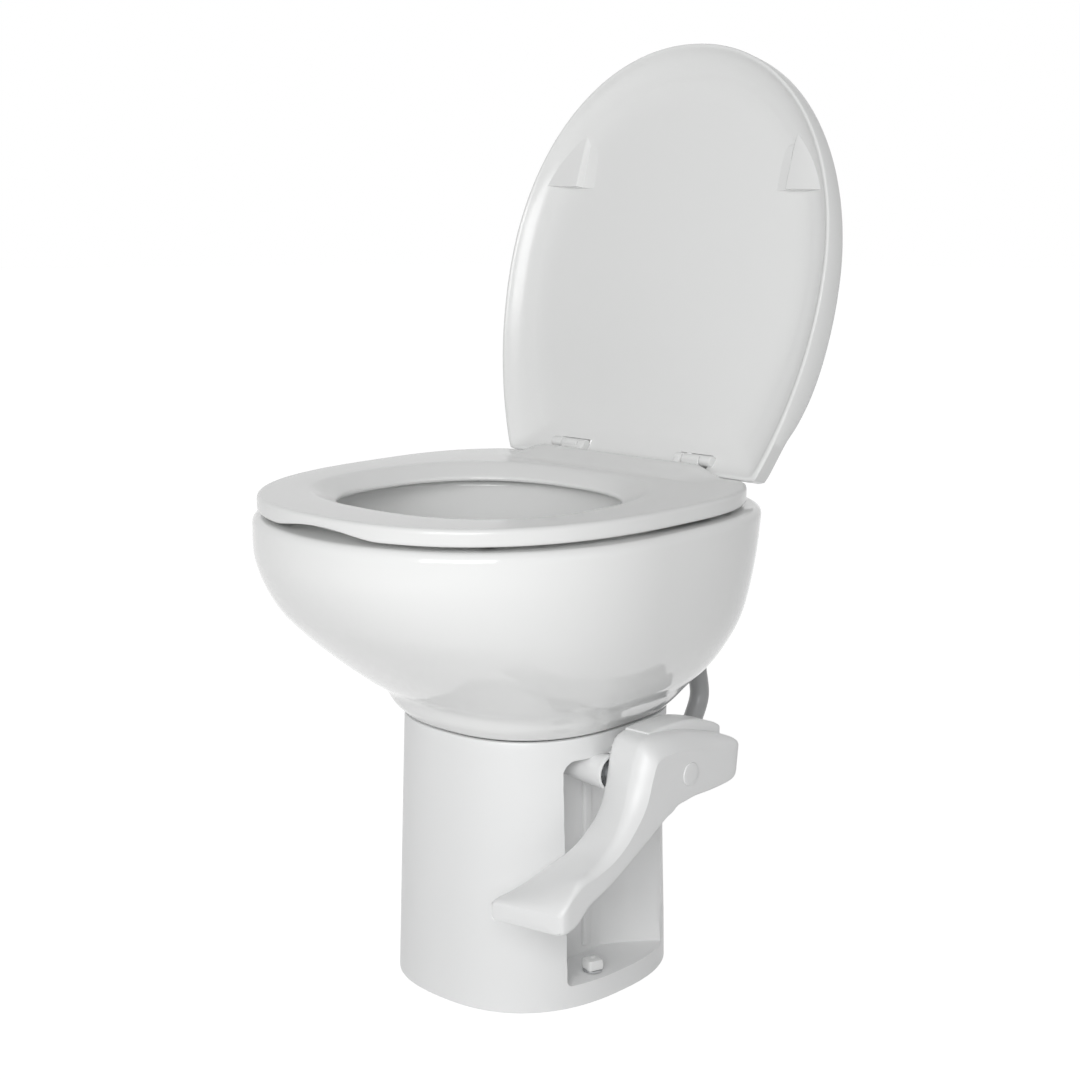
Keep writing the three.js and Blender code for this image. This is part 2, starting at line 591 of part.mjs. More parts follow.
// Valve housing: cup for the ball, top flange and discharge tube in one
function makeHousing() {
  const v = VALVE;
  const outerR = v.housingRadius + v.housingWall;
  const tubeOuter = v.tubeRadius + v.tubeWall;
  const outer = [[v.housingFlange, v.housingTopZ]];
  outer.push([v.housingFlange, v.housingTopZ - v.housingFlangeThick]);
  outer.push([outerR, v.housingTopZ - v.housingFlangeThick]);
  const steps = FACETS.cupSteps;
  const outerEnd = Math.acos(tubeOuter / outerR);
  for (let i = 0; i <= steps; i += 1) {
    const a = outerEnd * (i / steps);
    outer.push([outerR * Math.cos(a), v.shaftZ - outerR * Math.sin(a)]);
  }
  outer.push([tubeOuter, v.tubeBottomZ], [v.tubeRadius, v.tubeBottomZ]);
  const innerEnd = Math.acos(v.tubeRadius / v.housingRadius);
  for (let i = steps; i >= 0; i -= 1) {
    const a = innerEnd * (i / steps);
    outer.push([v.housingRadius * Math.cos(a), v.shaftZ - v.housingRadius * Math.sin(a)]);
  }
  outer.push([v.housingRadius, v.housingTopZ]);
  const cup = turned(outer, [0, v.y]);
  const hole = SHAFT.radius + SHAFT.clearance;
  return cut(cup, bar('x', hole, -outerR - OVERRUN, outerR + OVERRUN, [v.y, v.shaftZ]));
}

function makeSeal() {
  const v = VALVE;
  const low = v.housingTopZ + GAP;
  const high = v.flangeZ - GAP;
  const ballAt = (z) => Math.sqrt(v.ballRadius ** 2 - (z - v.shaftZ) ** 2);
  const lipZ = (low + high) / 2;
  return turned([
    [ballAt(low) + 2 * GAP, low],
    [v.flangeRadius, low],
    [v.flangeRadius, high],
    [ballAt(lipZ) + 2 * GAP, high],
    [ballAt(lipZ) + 2 * GAP, lipZ],
  ], [0, v.y]);
}

function makeBall() {
  const v = VALVE;
  const ball = (radius) => {
    const geometry = new THREE.SphereGeometry(radius, FACETS.big, FACETS.big / 2);
    geometry.rotateX(Math.PI / 2).translate(0, v.y, v.shaftZ);
    return solid(geometry);
  };
  const wide = 2 * v.ballRadius;
  const whole = ball(v.ballRadius);
  const keep = block([-wide, wide], [v.y - wide, v.y + wide],
    [v.shaftZ + v.ballCutRise, v.shaftZ + wide]);
  let body = cut(whole, ball(v.ballRadius - v.ballWall)).intersect(keep);
  for (const side of [-1, 1]) {
    const slab = block([side * v.earInner, side * v.earOuter].sort((a, b) => a - b),
      [v.y - wide, v.y + wide], [v.shaftZ - v.earDrop, v.shaftZ + wide]);
    body = join(body, whole.intersect(slab));
  }
  return cut(body, bar('x', SHAFT.radius + GAP, -wide, wide, [v.y, v.shaftZ]));
}

// Gear outline in its own plane, tooth zero pointing along +X
function toothPoints(teeth, centreAngle) {
  const pitch = (GEAR.module * teeth) / 2;
  const tip = pitch + GEAR.module * ADDENDUM_SHARE;
  const root = pitch - GEAR.module * DEDENDUM_SHARE;
  const base = pitch * Math.cos(PRESSURE_ANGLE);
  const involute = (r) => {
    const a = Math.acos(Math.min(base / r, 1));
    return Math.tan(a) - a;
  };
  const half = Math.PI / (2 * teeth) - GEAR.backlash / (2 * pitch);
  const halfAt = (r) => half + involute(pitch) - involute(Math.max(r, base));
  const radii = [root, Math.max(base, root), pitch, tip];
  const side = radii.map((r) => [r, halfAt(r)]);
  const points = [];
  for (const [r, a] of side) points.push([r, centreAngle - a]);
  for (const [r, a] of [...side].reverse()) points.push([r, centreAngle + a]);
  return points;
}

// Extruded along X from startX; plane angle zero is -Y, growing towards +Z
function gearSolid(polar, centre, startX, width) {
  const shape = new THREE.Shape(polar.map(([r, a]) =>
    new THREE.Vector2(r * Math.cos(a), r * Math.sin(a))));
  const geometry = new THREE.ExtrudeGeometry(shape, { depth: width, bevelEnabled: false });
  const turn = new THREE.Matrix4().makeBasis(
    new THREE.Vector3(0, -1, 0), new THREE.Vector3(0, 0, 1), new THREE.Vector3(-1, 0, 0));
  geometry.applyMatrix4(turn).translate(startX + width, centre[0], centre[1]);
  return solid(geometry);
}

function makePinion() {
  const polar = [];
  for (let i = 0; i < PINION_TEETH; i += 1) {
    const angle = Math.PI + ((i + 0.5) * FULL_TURN) / PINION_TEETH;
    polar.push(...toothPoints(PINION_TEETH, angle));
  }
  const body = gearSolid(polar, [VALVE.y, VALVE.shaftZ], PEDAL.gearX, PEDAL.gearWidth);
  return cut(body, bar('x', SHAFT.radius + GAP, 0, PEDAL.outerX, [VALVE.y, VALVE.shaftZ]));
}

function makeSector() {
  const step = FULL_TURN / SECTOR_TEETH;
  const polar = [];
  for (let k = SECTOR_FIRST_TOOTH; k <= SECTOR_LAST_TOOTH; k += 1) {
    polar.push(...toothPoints(SECTOR_TEETH, k * step));
  }
  const hubSteps = 10;
  const hub = PEDAL.bossRadius;
  const from = (SECTOR_LAST_TOOTH + 1) * step;
  const to = FULL_TURN + (SECTOR_FIRST_TOOTH - 1) * step;
  for (let i = 0; i <= hubSteps; i += 1) polar.push([hub, between(from, to, i / hubSteps)]);
  const centre = [PEDAL.pivotY, PEDAL.pivotZ];
  const body = gearSolid(polar, centre, PEDAL.gearX, PEDAL.gearWidth);
  const boss = bar('x', PEDAL.bossRadius, PEDAL.gearX + GAP, PEDAL.innerX - GAP, centre, FACETS.big);
  return cut(join(body, boss), bar('x', PEDAL.axleRadius + GAP, 0, PEDAL.outerX, centre));
}

// Pedal as stations from the hub's rear end to the tread's front edge.
// Columns: inner top y and z, outer top y and z, bottom y and z, inner x, outer x, ridge round
// y as shares of the length from the rear, z as shares of the height from the tread's bottom,
// inner x as a share of the way from arm to tread, outer x as a share of the width lost.
const PEDAL_SHARES = [
  [0.0, 0.74, 0.0, 0.73, 0.01, 0.61, 0.0, 0.12, 0.35],
  [0.02, 0.785, 0.02, 0.785, 0.03, 0.56, 0.0, 0.03, 0.8],
  [0.07, 0.83, 0.07, 0.83, 0.07, 0.54, 0.0, 0.0, 1.0],
  [0.18, 0.885, 0.18, 0.895, 0.16, 0.53, 0.0, 0.0, 1.0],
  [0.29, 0.925, 0.29, 0.935, 0.25, 0.53, 0.0, 0.0, 1.0],
  [0.38, 0.94, 0.4, 0.95, 0.3, 0.52, 0.0, 0.0, 1.0],
  [0.44, 0.915, 0.48, 0.925, 0.34, 0.51, 0.0, 0.0, 1.0],
  [0.465, 0.84, 0.515, 0.82, 0.37, 0.48, 0.0, 0.0, 1.0],
  [0.48, 0.73, 0.54, 0.71, 0.4, 0.46, 0.0, 0.0, 0.9],
  [0.495, 0.61, 0.57, 0.6, 0.44, 0.42, 0.0, 0.0, 0.8],
  [0.52, 0.5, 0.61, 0.5, 0.49, 0.37, 0.02, 0.0, 0.7],
  [0.57, 0.4, 0.65, 0.42, 0.55, 0.31, 0.08, 0.0, 0.6],
  [0.64, 0.3, 0.7, 0.36, 0.62, 0.24, 0.25, 0.0, 0.5],
  [0.72, 0.22, 0.76, 0.32, 0.7, 0.17, 0.62, 0.0, 0.4],
  [0.8, 0.155, 0.82, 0.29, 0.78, 0.115, 0.92, 0.0, 0.3],
  [0.88, 0.13, 0.85, 0.25, 0.84, 0.04, 1.0, 0.0, 0.25],
  [0.93, 0.125, 0.875, 0.2, 0.87, 0.02, 1.0, 0.0, 0.2],
  [0.955, 0.115, 0.895, 0.15, 0.895, 0.015, 0.98, 0.03, 0.15],
  [0.968, 0.1, 0.908, 0.12, 0.912, 0.02, 0.9, 0.15, 0.1],
];
const PEDAL_COVER_FIRST_ROW = 1;
// How far the cover stands up at each of its rows
const PEDAL_COVER_SHARES = [1, 0.95, 0.84, 0.42, 0.04];

// Quarter-round corner between two edges of a section, as points
function roundCorner(before, corner, after, radius, steps) {
  const towards = (to) => {
    const v = new THREE.Vector3(...to).sub(new THREE.Vector3(...corner));
    const length = v.length();
    return v.multiplyScalar(Math.min(radius, length / 2.5) / length);
  };
  const start = new THREE.Vector3(...corner).add(towards(before));
  const end = new THREE.Vector3(...corner).add(towards(after));
  const curve = new THREE.QuadraticBezierCurve3(start, new THREE.Vector3(...corner), end);
  return curve.getPoints(steps).map((v) => v.toArray());
}

function pedalRing(row) {
  const [innerY, innerZ, outerY, outerZ, lowY, lowZ, inward, loss, ridge] = row;
  const p = PEDAL;
  const yz = (y, z) => [p.rearY - p.length * y, p.bottomZ + p.height * z];
  const inX = between(p.innerX, p.treadInnerX, inward);
  const outX = p.outerX - (p.outerX - p.innerX) * loss;
  const corners = [
    [inX, ...yz(innerY, innerZ)],
    [outX, ...yz(outerY, outerZ)],
    [outX, ...yz(lowY, lowZ)],
    [inX, ...yz(lowY, lowZ)],
  ];
  const radii = [p.treadRound, Math.max(p.ridgeRound * ridge, p.edgeRound), p.edgeRound, p.edgeRound];
  const ring = [];
  corners.forEach((corner, i) => {
    const before = corners[(i + 3) % 4];
    const after = corners[(i + 1) % 4];
    ring.push(...roundCorner(before, corner, after, radii[i], i === 1 ? 5 : 2));
  });
  return ring;
}

// Raised cover let into the hub's top, or its room in the pedal when grown
function pedalCover(grow) {
  const p = PEDAL;
  const first = PEDAL_COVER_FIRST_ROW;
  const count = PEDAL_COVER_SHARES.length;
  const x0 = p.coverInnerX - grow;
  const x1 = p.coverOuterX + grow;
  const rings = PEDAL_SHARES.slice(first, first + count).map(([, , outerY, outerZ], i) => {
    const ends = { 0: grow, [count - 1]: -grow };
    const y = p.rearY - p.length * outerY + (ends[i] ?? 0);
    const top = p.bottomZ + p.height * outerZ;
    const high = top + p.coverRise * PEDAL_COVER_SHARES[i] + grow;
    const low = top - p.coverDepth - grow;
    return [[x0, y, low], [x0, y, high - p.edgeRound], [x0 + p.edgeRound, y, high],
      [x1 - p.edgeRound, y, high], [x1, y, high - p.edgeRound], [x1, y, low]];
  });
  return loft(rings);
}

function makePedal() {
  const p = PEDAL;
  const centre = [p.pivotY, p.pivotZ];
  return cut(loft(PEDAL_SHARES.map(pedalRing)), pedalCover(GAP),
    bar('x', p.axleRadius + GAP, 0, p.axleEndX + 2 * GAP, centre),
    bar('x', p.capRadius + GAP, p.outerX - p.capThick, p.outerX + OVERRUN, centre, FACETS.big));
}

// Spring cartridge: tapered hub on the pocket's wall, with a cup round the pinion
function makeCartridge() {
  const c = CARTRIDGE;
  const rings = [0, 1].map((share) => {
    const x = between(PEDESTAL.pocketX + GAP, c.endX, share);
    const radius = between(c.rootRadius, c.endRadius, share);
    const y = VALVE.y + c.rootShiftY * (1 - share);
    const z = VALVE.shaftZ - c.rootDropZ * (1 - share);
    return Array.from({ length: FACETS.basin }, (_, i) => {
      const a = (FULL_TURN * i) / FACETS.basin;
      return [x, y + radius * Math.cos(a), z + radius * Math.sin(a)];
    });
  });
  const centre = [VALVE.y, VALVE.shaftZ];
  const above = block([0, c.cupX], [VALVE.y - OVERRUN, VALVE.y + OVERRUN],
    [PEDESTAL.pocketTopZ - GAP, BOWL.footZ]);
  return cut(loft(rings), above,
    bar('x', SHAFT.radius + SHAFT.clearance, 0, PEDAL.outerX, centre),
    bar('x', c.boreRadius, c.boreX, c.endX + OVERRUN, centre, FACETS.big),
    bar('x', c.cupBore, c.cupX, c.endX + OVERRUN, centre, FACETS.big),
    bar('x', c.sectorRoom, c.cupX, c.endX + OVERRUN, [PEDAL.pivotY, PEDAL.pivotZ], FACETS.big));
}

// Seat ring with a bevelled hole, hinge lugs and a finger notch
function hingeBarrel(x0, x1) {
  return bar('x', HINGE.barrelRadius, x0, x1, [HINGE.y, HINGE.z]);
}

function lugSpan(side, near, far) {
  return [side * near, side * far].sort((a, b) => a - b);
}

const postSpan = (side) => lugSpan(side, HINGE.centreX - HINGE.postWidth / 2,
  HINGE.centreX + HINGE.postWidth / 2);
const seatLugSpan = (side) => lugSpan(side,
  HINGE.centreX - HINGE.postWidth / 2 - GAP * 2 - HINGE.lugWidth,
  HINGE.centreX - HINGE.postWidth / 2 - GAP * 2);
const lidLugSpan = (side) => lugSpan(side,
  HINGE.centreX + HINGE.postWidth / 2 + GAP * 2,
  HINGE.centreX + HINGE.postWidth / 2 + GAP * 2 + HINGE.lugWidth + HINGE.lugRoot);

function makeSeat() {
  const s = SEAT;
  const bottom = s.top - s.thickness;
  const outer = loft([
    egg(s, SEAT_POWER_SHARES, s.edgeRound / 2, bottom),
    egg(s, SEAT_POWER_SHARES, 0, bottom + s.edgeRound / 2),
    egg(s, SEAT_POWER_SHARES, 0, s.top - s.edgeRound),
    egg(s, SEAT_POWER_SHARES, s.edgeRound * 0.3, s.top - s.edgeRound * 0.3),
    egg(s, SEAT_POWER_SHARES, s.edgeRound, s.top),
  ]);
  const hole = (inset, z) => oval({
    halfWidth: s.holeHalfWidth - inset, frontY: s.holeFrontY + inset, rearY: s.holeRearY - inset,
    centreY: s.holeWidestY, frontPower: SEAT_POWER_SHARES.front, rearPower: SEAT_POWER_SHARES.front,
  }, z, FACETS.hole);
  const opening = loft([
    hole(s.bevelRun, bottom - OVERRUN),
    hole(s.bevelRun, s.top - s.bevelDrop),
    hole(s.bevelRun * 0.45, s.top - s.bevelDrop * 0.3),
    hole(0, s.top),
    hole(0, s.top + OVERRUN),
  ]);
  let body = join(cut(outer, opening), seatRidge());
  for (const side of [-1, 1]) {
    const [x0, x1] = seatLugSpan(side);
    const arm = new THREE.Shape();
    arm.moveTo(s.rearY - HINGE.barrelRadius, s.top - s.thickness / 2);
    arm.lineTo(HINGE.y - HINGE.barrelRadius * 0.9, HINGE.z - HINGE.barrelRadius * 0.55);
    arm.lineTo(HINGE.y, HINGE.z);
    arm.lineTo(HINGE.y - HINGE.barrelRadius * 0.35, HINGE.z + HINGE.barrelRadius * 0.9);
    arm.lineTo(s.rearY - HINGE.barrelRadius * 2, s.top - GAP);
    arm.closePath();
    const geometry = new THREE.ExtrudeGeometry(arm, { depth: x1 - x0, bevelEnabled: false });
    const turn = new THREE.Matrix4().makeBasis(
      new THREE.Vector3(0, 1, 0), new THREE.Vector3(0, 0, 1), new THREE.Vector3(1, 0, 0));
    geometry.applyMatrix4(turn).translate(x0, 0, 0);
    body = cut(join(body, solid(geometry), hingeBarrel(x0, x1)), hingePinHole(side));
  }
  return cut(body, fingerNotch(bottom));
}

// Low ridge along the rear edge that the hinge stands behind
function seatRidge() {
  const s = SEAT;
  return loft(RIDGE_END_SHARES.map(([across, rise]) => RIDGE_PROFILE_SHARES.map(([run, high]) => [
    s.ridgeHalfWidth * across,
    s.rearY - s.ridgeSetBack - s.ridgeRun * run,
    s.top + s.ridgeHeight * (high > 0 ? high * rise : high),
  ])));
}

const pinSpan = (side, spare) => lugSpan(side, seatLugSpan(1)[0] - spare, lidLugSpan(1)[1] + spare);
const hingePinHole = (side) => bar('x', HINGE.pinRadius + GAP, ...pinSpan(side, GAP),
  [HINGE.y, HINGE.z]);

function fingerNotch(bottom) {
  const s = SEAT;
  const geometry = new THREE.SphereGeometry(s.notchHalfWidth, FACETS.ring, FACETS.small);
  geometry.scale(1, 1, s.notchHeight / s.notchHalfWidth);
  geometry.translate(0, s.frontY, bottom);
  return solid(geometry);
}

// Lid, made closed and then swung open about the hinge
function makeLid() {
  const l = LID;
  const topZ = l.rimZ + l.skirt;
  const ring = (inset, z) => egg(l, LID_POWER_SHARES, inset, z);
  const outer = loft([
    ring(l.lip * 0.3, l.rimZ),
    ring(0, l.rimZ + l.lip * 0.4),
    ring(0, topZ - l.edgeRound),
    ring(l.edgeRound * 0.3, topZ - l.edgeRound * 0.3),
    ring(l.edgeRound, topZ),
    ring(l.edgeRound * 6, topZ + l.crown * 0.6),
    ring(l.edgeRound * 14, topZ + l.crown),
  ]);
  const inner = loft([
    ring(l.lip, l.rimZ - OVERRUN),
    ring(l.lip, l.rimZ + l.bandDepth * 0.6),
    ring(l.lip + l.bandRun * 0.4, l.rimZ + l.bandDepth),
    ring(l.lip + l.bandRun, l.rimZ + l.dishDepth * 0.85),
    ring(l.lip + l.bandRun * 2, l.rimZ + l.dishDepth),
  ]);
  let body = cut(outer, inner);
  const behind = l.rearY + OVERRUN;
  for (const side of [-1, 1]) {
    body = join(body, lidWedge(side).intersect(outer));
    const [lugStart, lugEnd] = seatLugSpan(1);
    const slotEnd = lidLugSpan(1)[1] - HINGE.lugRoot;
    const postRoom = block(lugSpan(side, lugEnd, slotEnd),
      [HINGE.y - HINGE.barrelRadius - HINGE.slotRoom, behind],
      [l.rimZ - OVERRUN, l.rimZ + HINGE.slotHeight]);
    const armRoom = block(lugSpan(side, lugStart - HINGE.slotRoom, lugEnd + HINGE.slotRoom),
      [HINGE.y - 2 * HINGE.barrelRadius - HINGE.slotRoom, behind],
      [l.rimZ - OVERRUN, topZ + OVERRUN]);
    const [x0, x1] = lidLugSpan(side);
    const web = block([x0, x1], [HINGE.y - HINGE.barrelRadius, HINGE.y + HINGE.barrelRadius],
      [HINGE.z, l.rimZ + HINGE.slotHeight + GAP]);
    body = join(cut(body, postRoom, armRoom), web, hingeBarrel(x0, x1));
    body = cut(body, hingePinHole(side));
  }
  return body;
}

// Ramp inside the lid, from the rim's band down to the dish
function lidWedge(side) {
  const l = LID;
  const top = l.rimZ + l.dishDepth + GAP;
  const low = l.rimZ + l.wedgeDepth;
  const geometry = new THREE.BufferGeometry();
  const innerX = l.halfWidth - l.wedgeInset;
  const outerX = l.halfWidth - l.wedgeOuterInset;
  const position = [
    [innerX, l.wedgeRearY, low], [outerX, l.wedgeRearY, low],
    [innerX, l.wedgeRearY, top], [outerX, l.wedgeRearY, top],
    [innerX, l.wedgeFrontY, l.rimZ + l.wedgeTipDepth], [innerX, l.wedgeFrontY, top],
  ].map(([x, y, z]) => [x * side, y, z]).flat();
  geometry.setAttribute('position', new THREE.Float32BufferAttribute(position, 3));
  geometry.setIndex([0, 1, 4, 0, 2, 3, 0, 3, 1, 2, 5, 3, 0, 4, 5, 0, 5, 2, 1, 3, 5, 1, 5, 4]);
  return solid(geometry);
}

function openLid(mesh) {
  mesh.geometry.translate(0, -HINGE.y, -HINGE.z);
  mesh.rotation.x = -LID_OPEN_ANGLE;
  mesh.position.set(0, HINGE.y, HINGE.z);
}

function makePost(side) {
  const [x0, x1] = postSpan(side);
  const body = join(
    block([x0, x1], [HINGE.postFrontY, HINGE.postRearY], [BOWL.rimZ + GAP, HINGE.footTopZ]),
    block([x0, x1], [HINGE.y - HINGE.barrelRadius, HINGE.y + HINGE.barrelRadius],
      [HINGE.footTopZ - GAP, HINGE.z]),
    hingeBarrel(x0, x1));
  return cut(body, hingePinHole(side), bar('z', HINGE.boltRadius + GAP, 0,
    BOWL.rimZ + HINGE.boltRise + GAP, [side * HINGE.centreX, hingeBoltY], FACETS.small));
}

function makeAnchor(side) {
  const h = HINGE;
  const top = BOWL.rimZ - GAP;
  const low = BOWL.rimZ - h.anchorLength;
  const under = BOWL.rimZ - BOWL.rimThickness - GAP;
  return turned([
    [h.boltRadius + GAP, low],
    [h.anchorFlange, low],
    [h.anchorFlange, low + h.anchorFlangeThick],
    [h.anchorRadius, under],
    [h.anchorRadius, top],
    [h.boltRadius + GAP, top],
  ], [side * h.centreX, hingeBoltY]);
}

// Water parts
function valveFrontY() {
  const nearX = WATER.valveX - WATER.valveWidth / 2;
  const fronts = [WATER.valveZ - WATER.plateDrop, VALVE_TOP_Z].map((z) => {
    const section = pedestalSection(z / PEDESTAL.topZ, 0);
    const power = section.rearPower;
    const reach = (1 - (nearX / section.halfWidth) ** power) ** (1 / power);
    return section.centreY + (section.rearY - section.centreY) * reach;
  });
  return Math.max(...fronts) + 2 * GAP;
}

function valveScrewPlaces() {
  const z = WATER.valveZ - WATER.plateDrop / 2;
  const reach = WATER.valveWidth / 3;
  return [-1, 1].map((side) => [WATER.valveX + side * reach, z]);
}

function makeValve(front) {
  const w = WATER;
  const x = [w.valveX - w.valveWidth / 2, w.valveX + w.valveWidth / 2];
  const centreZ = w.valveZ + w.valveHeight / 2;
  const body = join(
    block(x, [front, front + w.valveDepth], [w.valveZ, VALVE_TOP_Z]),
    block(x, [front, front + w.plateThick], [w.valveZ - w.plateDrop, w.valveZ + GAP]),
    bar('z', PORT_RADIUS, VALVE_TOP_Z - GAP, VALVE_TOP_Z + w.portHeight,
      [w.valveX, w.portY]));
  const holes = valveScrewPlaces().map((place) =>
    bar('y', w.screwRadius + GAP, front - OVERRUN, front + OVERRUN, place, FACETS.small));
  return cut(body, ...holes,
    bar('x', w.inletBore, x[0] - OVERRUN, w.valveX, [w.portY, centreZ]),
    bar('z', w.nozzleBore, centreZ, VALVE_TOP_Z + OVERRUN, [w.valveX, w.portY], FACETS.small));
}

function makeInlet() {
  const w = WATER;
  const near = w.valveX - w.valveWidth / 2 - GAP;
  const centre = [w.portY, w.valveZ + w.valveHeight / 2];
  const body = join(
    bar('x', w.inletRadius, near - w.inletLength, near, centre, 6),
    bar('x', w.inletRadius * 0.8, near - w.inletLength * 1.6, near - w.inletLength / 2, centre),
    bar('x', w.inletBore - GAP, near - GAP, near + w.inletLength / 3, centre));
  const bore = bar('x', w.nozzleBore, near - 2 * w.inletLength, near + w.inletLength, centre,
    FACETS.small);
  return cut(body, bore);
}

function makeHose() {
  const curve = new THREE.CatmullRomCurve3(HOSE_ROUTE.map((p) => new THREE.Vector3(...p)));
  const section = new THREE.Shape();
  section.absarc(0, 0, WATER.hoseRadius, 0, FULL_TURN);
  const bore = new THREE.Path();
  bore.absarc(0, 0, WATER.hoseBore, 0, FULL_TURN, true);
  section.holes.push(bore);
  return solid(new THREE.ExtrudeGeometry(section, {
    steps: WATER.hoseSteps, curveSegments: WATER.hoseSides / 2, extrudePath: curve,
  }));
}

function makeHoseClamp(axis, low, centre) {
  const inner = WATER.hoseRadius + GAP;
  const ring = cut(bar(axis, inner + WATER.clampThick, low, low + WATER.clampWidth, centre),
    bar(axis, inner, low - OVERRUN, low + OVERRUN, centre));
  return ring;
}

function assembleWater() {
  const w = WATER;
  const front = valveFrontY();
  piece('water_valve', makeValve(front), 'grey');
  piece('water_inlet', makeInlet(), 'grey');
  piece('water_hose', makeHose(), 'grey');
  const lowClampZ = VALVE_TOP_Z + 2 * GAP;
  piece('hose_clamp_lower', makeHoseClamp('z', lowClampZ, [w.valveX, w.portY]), 'steel');
  const highClampY = HOSE_END_Y + GAP;
  piece('hose_clamp_upper', makeHoseClamp('y', highClampY, [w.nozzleX, w.nozzleZ]), 'steel');
  const centre = [w.nozzleX, w.nozzleZ];
  const nozzle = cut(bar('y', PORT_RADIUS, w.nozzleInY, w.nozzleOutY, centre),
    bar('y', w.nozzleBore, w.nozzleInY - OVERRUN, w.nozzleOutY + OVERRUN, centre, FACETS.small));
  piece('bowl_nozzle', nozzle, 'grey');
  valveScrewPlaces().forEach((place, i) => {
    const back = front + w.plateThick + GAP;
    const screw = join(
      bar('y', w.screwRadius, back - w.screwLength, back + GAP, place, FACETS.small),
      bar('y', w.screwHead, back, back + w.screwHeadThick, place, FACETS.small));
    piece(`valve_screw_${i + 1}`, screw, 'steel');
  });
}

function assembleBase() {
  piece('pedestal', makePedestal(), 'satin');
  piece('bowl', makeBowl(), 'ceramic');
  const gasket = (inset, z) => oval(pedestalSection(1, inset), z, FACETS.pedestal);
  const low = PEDESTAL.topZ + GAP;
  const high = BOWL.footZ - GAP;
  const ring = cut(
    loft([gasket(GASKET.inset, low), gasket(GASKET.inset, high)]),
    loft([gasket(GASKET.inset + GASKET.width, low - OVERRUN),
      gasket(GASKET.inset + GASKET.width, high + OVERRUN)]));
  piece('bowl_gasket', ring, 'rubber');
  piece('valve_housing', makeHousing(), 'grey');
  piece('ball_seal', makeSeal(), 'rubber');
  piece('bowl_clamp_front', makeClamp(-1), 'grey');
  piece('bowl_clamp_rear', makeClamp(1), 'grey');
  clampScrewPlaces().forEach(([x, y], i) => {
    const screw = makeScrew(CLAMP.screwRadius, CLAMP.screwHead, CLAMP.screwHeadThick,
      CLAMP.screwLength);
    const z = PEDESTAL.pocketTopZ - GAP * 2;
    piece(`clamp_screw_${i + 1}`, screw, 'steel').position.set(x, y, z);
  });
  const seal = turned([
    [VALVE.tubeRadius + VALVE.tubeWall + GAP, 0],
    [FLOOR.sealOuter, 0],
    [FLOOR.sealOuter, FLOOR.sealHeight],
    [VALVE.tubeRadius + VALVE.tubeWall + GAP, FLOOR.sealHeight],
  ], [0, VALVE.y]);
  piece('floor_seal', seal, 'rubber');
}

function assembleFloorFixings() {
  const f = FLOOR;
  for (const [side, word] of [[-1, 'left'], [1, 'right']]) {
    const centre = [side * f.boltX, f.boltY];
    const bolt = bar('z', f.boltRadius, f.boltBottomZ, f.boltTopZ, centre, FACETS.small);
    piece(`floor_bolt_${word}`, bolt, 'steel');
    const washerZ = PEDESTAL.ledgeZ + GAP;
    const washerTop = washerZ + f.washerThick;
    const ringOf = (outer, low, high, sides) => cut(bar('z', outer, low, high, centre, sides),
      bar('z', f.boltRadius + GAP, low - OVERRUN, high + OVERRUN, centre, FACETS.small));
    piece(`floor_washer_${word}`, ringOf(f.washerRadius, washerZ, washerTop, 24), 'steel');
    const nutZ = washerTop + GAP;
    piece(`floor_nut_${word}`, ringOf(f.nutAcross / Math.sqrt(3), nutZ, nutZ + f.nutHeight, 6),
      'steel');
    const half = f.capWidth / 2;
    const inner = half - f.capWall;
    const roof = f.capHeight - f.capWall;
    const cap = cut(block([-half, half], [-half, half], [0, f.capHeight]),
      block([-inner, inner], [-inner, inner], [-OVERRUN, roof]),
      bar('z', f.capBore, 0, f.capHeight + OVERRUN, [0, 0]));
    const mesh = piece(`bolt_cap_${word}`, cap, 'gloss');
    mesh.position.set(centre[0], centre[1], nutZ);
    mesh.rotation.z = side * CAP_TURN;
  }
}

function assembleFlush() {
  const centre = [VALVE.y, VALVE.shaftZ];
  piece('flush_ball', makeBall(), 'grey');
  piece('ball_shaft', bar('x', SHAFT.radius, SHAFT.innerEndX, SHAFT.outerEndX, centre), 'grey');
  piece('ball_stub', bar('x', SHAFT.radius, -SHAFT.stubEndX, -SHAFT.innerEndX, centre),
    'grey');
  piece('shaft_pinion', makePinion(), 'grey');
  const spring = cut(
    bar('x', CARTRIDGE.springOuter, CARTRIDGE.springStart, CARTRIDGE.springEnd, centre),
    bar('x', CARTRIDGE.springInner, 0, PEDAL.outerX, centre));
  piece('spring_cartridge', makeCartridge(), 'satin');
  piece('return_spring', spring, 'steel');
  const lidStart = CARTRIDGE.springEnd + GAP;
  const cartridgeLid = cut(
    bar('x', CARTRIDGE.boreRadius - GAP, lidStart, lidStart + CARTRIDGE.lidThick, centre, FACETS.big),
    bar('x', SHAFT.radius + SHAFT.clearance, 0, PEDAL.outerX, centre));
  piece('cartridge_lid', cartridgeLid, 'grey');
}

function assemblePedal() {
  const p = PEDAL;
  const centre = [p.pivotY, p.pivotZ];
  piece('pedal_lever', makePedal(), 'satin');
  piece('pedal_cover', pedalCover(0), 'satin');
  piece('sector_gear', makeSector(), 'grey');
  piece('pivot_axle', bar('x', p.axleRadius, p.axleStartX, p.axleEndX, centre), 'steel');
  piece('pivot_cap', bar('x', p.capRadius, p.outerX - p.capThick + GAP,
    p.outerX + p.capProud, centre, FACETS.big), 'satin');
}

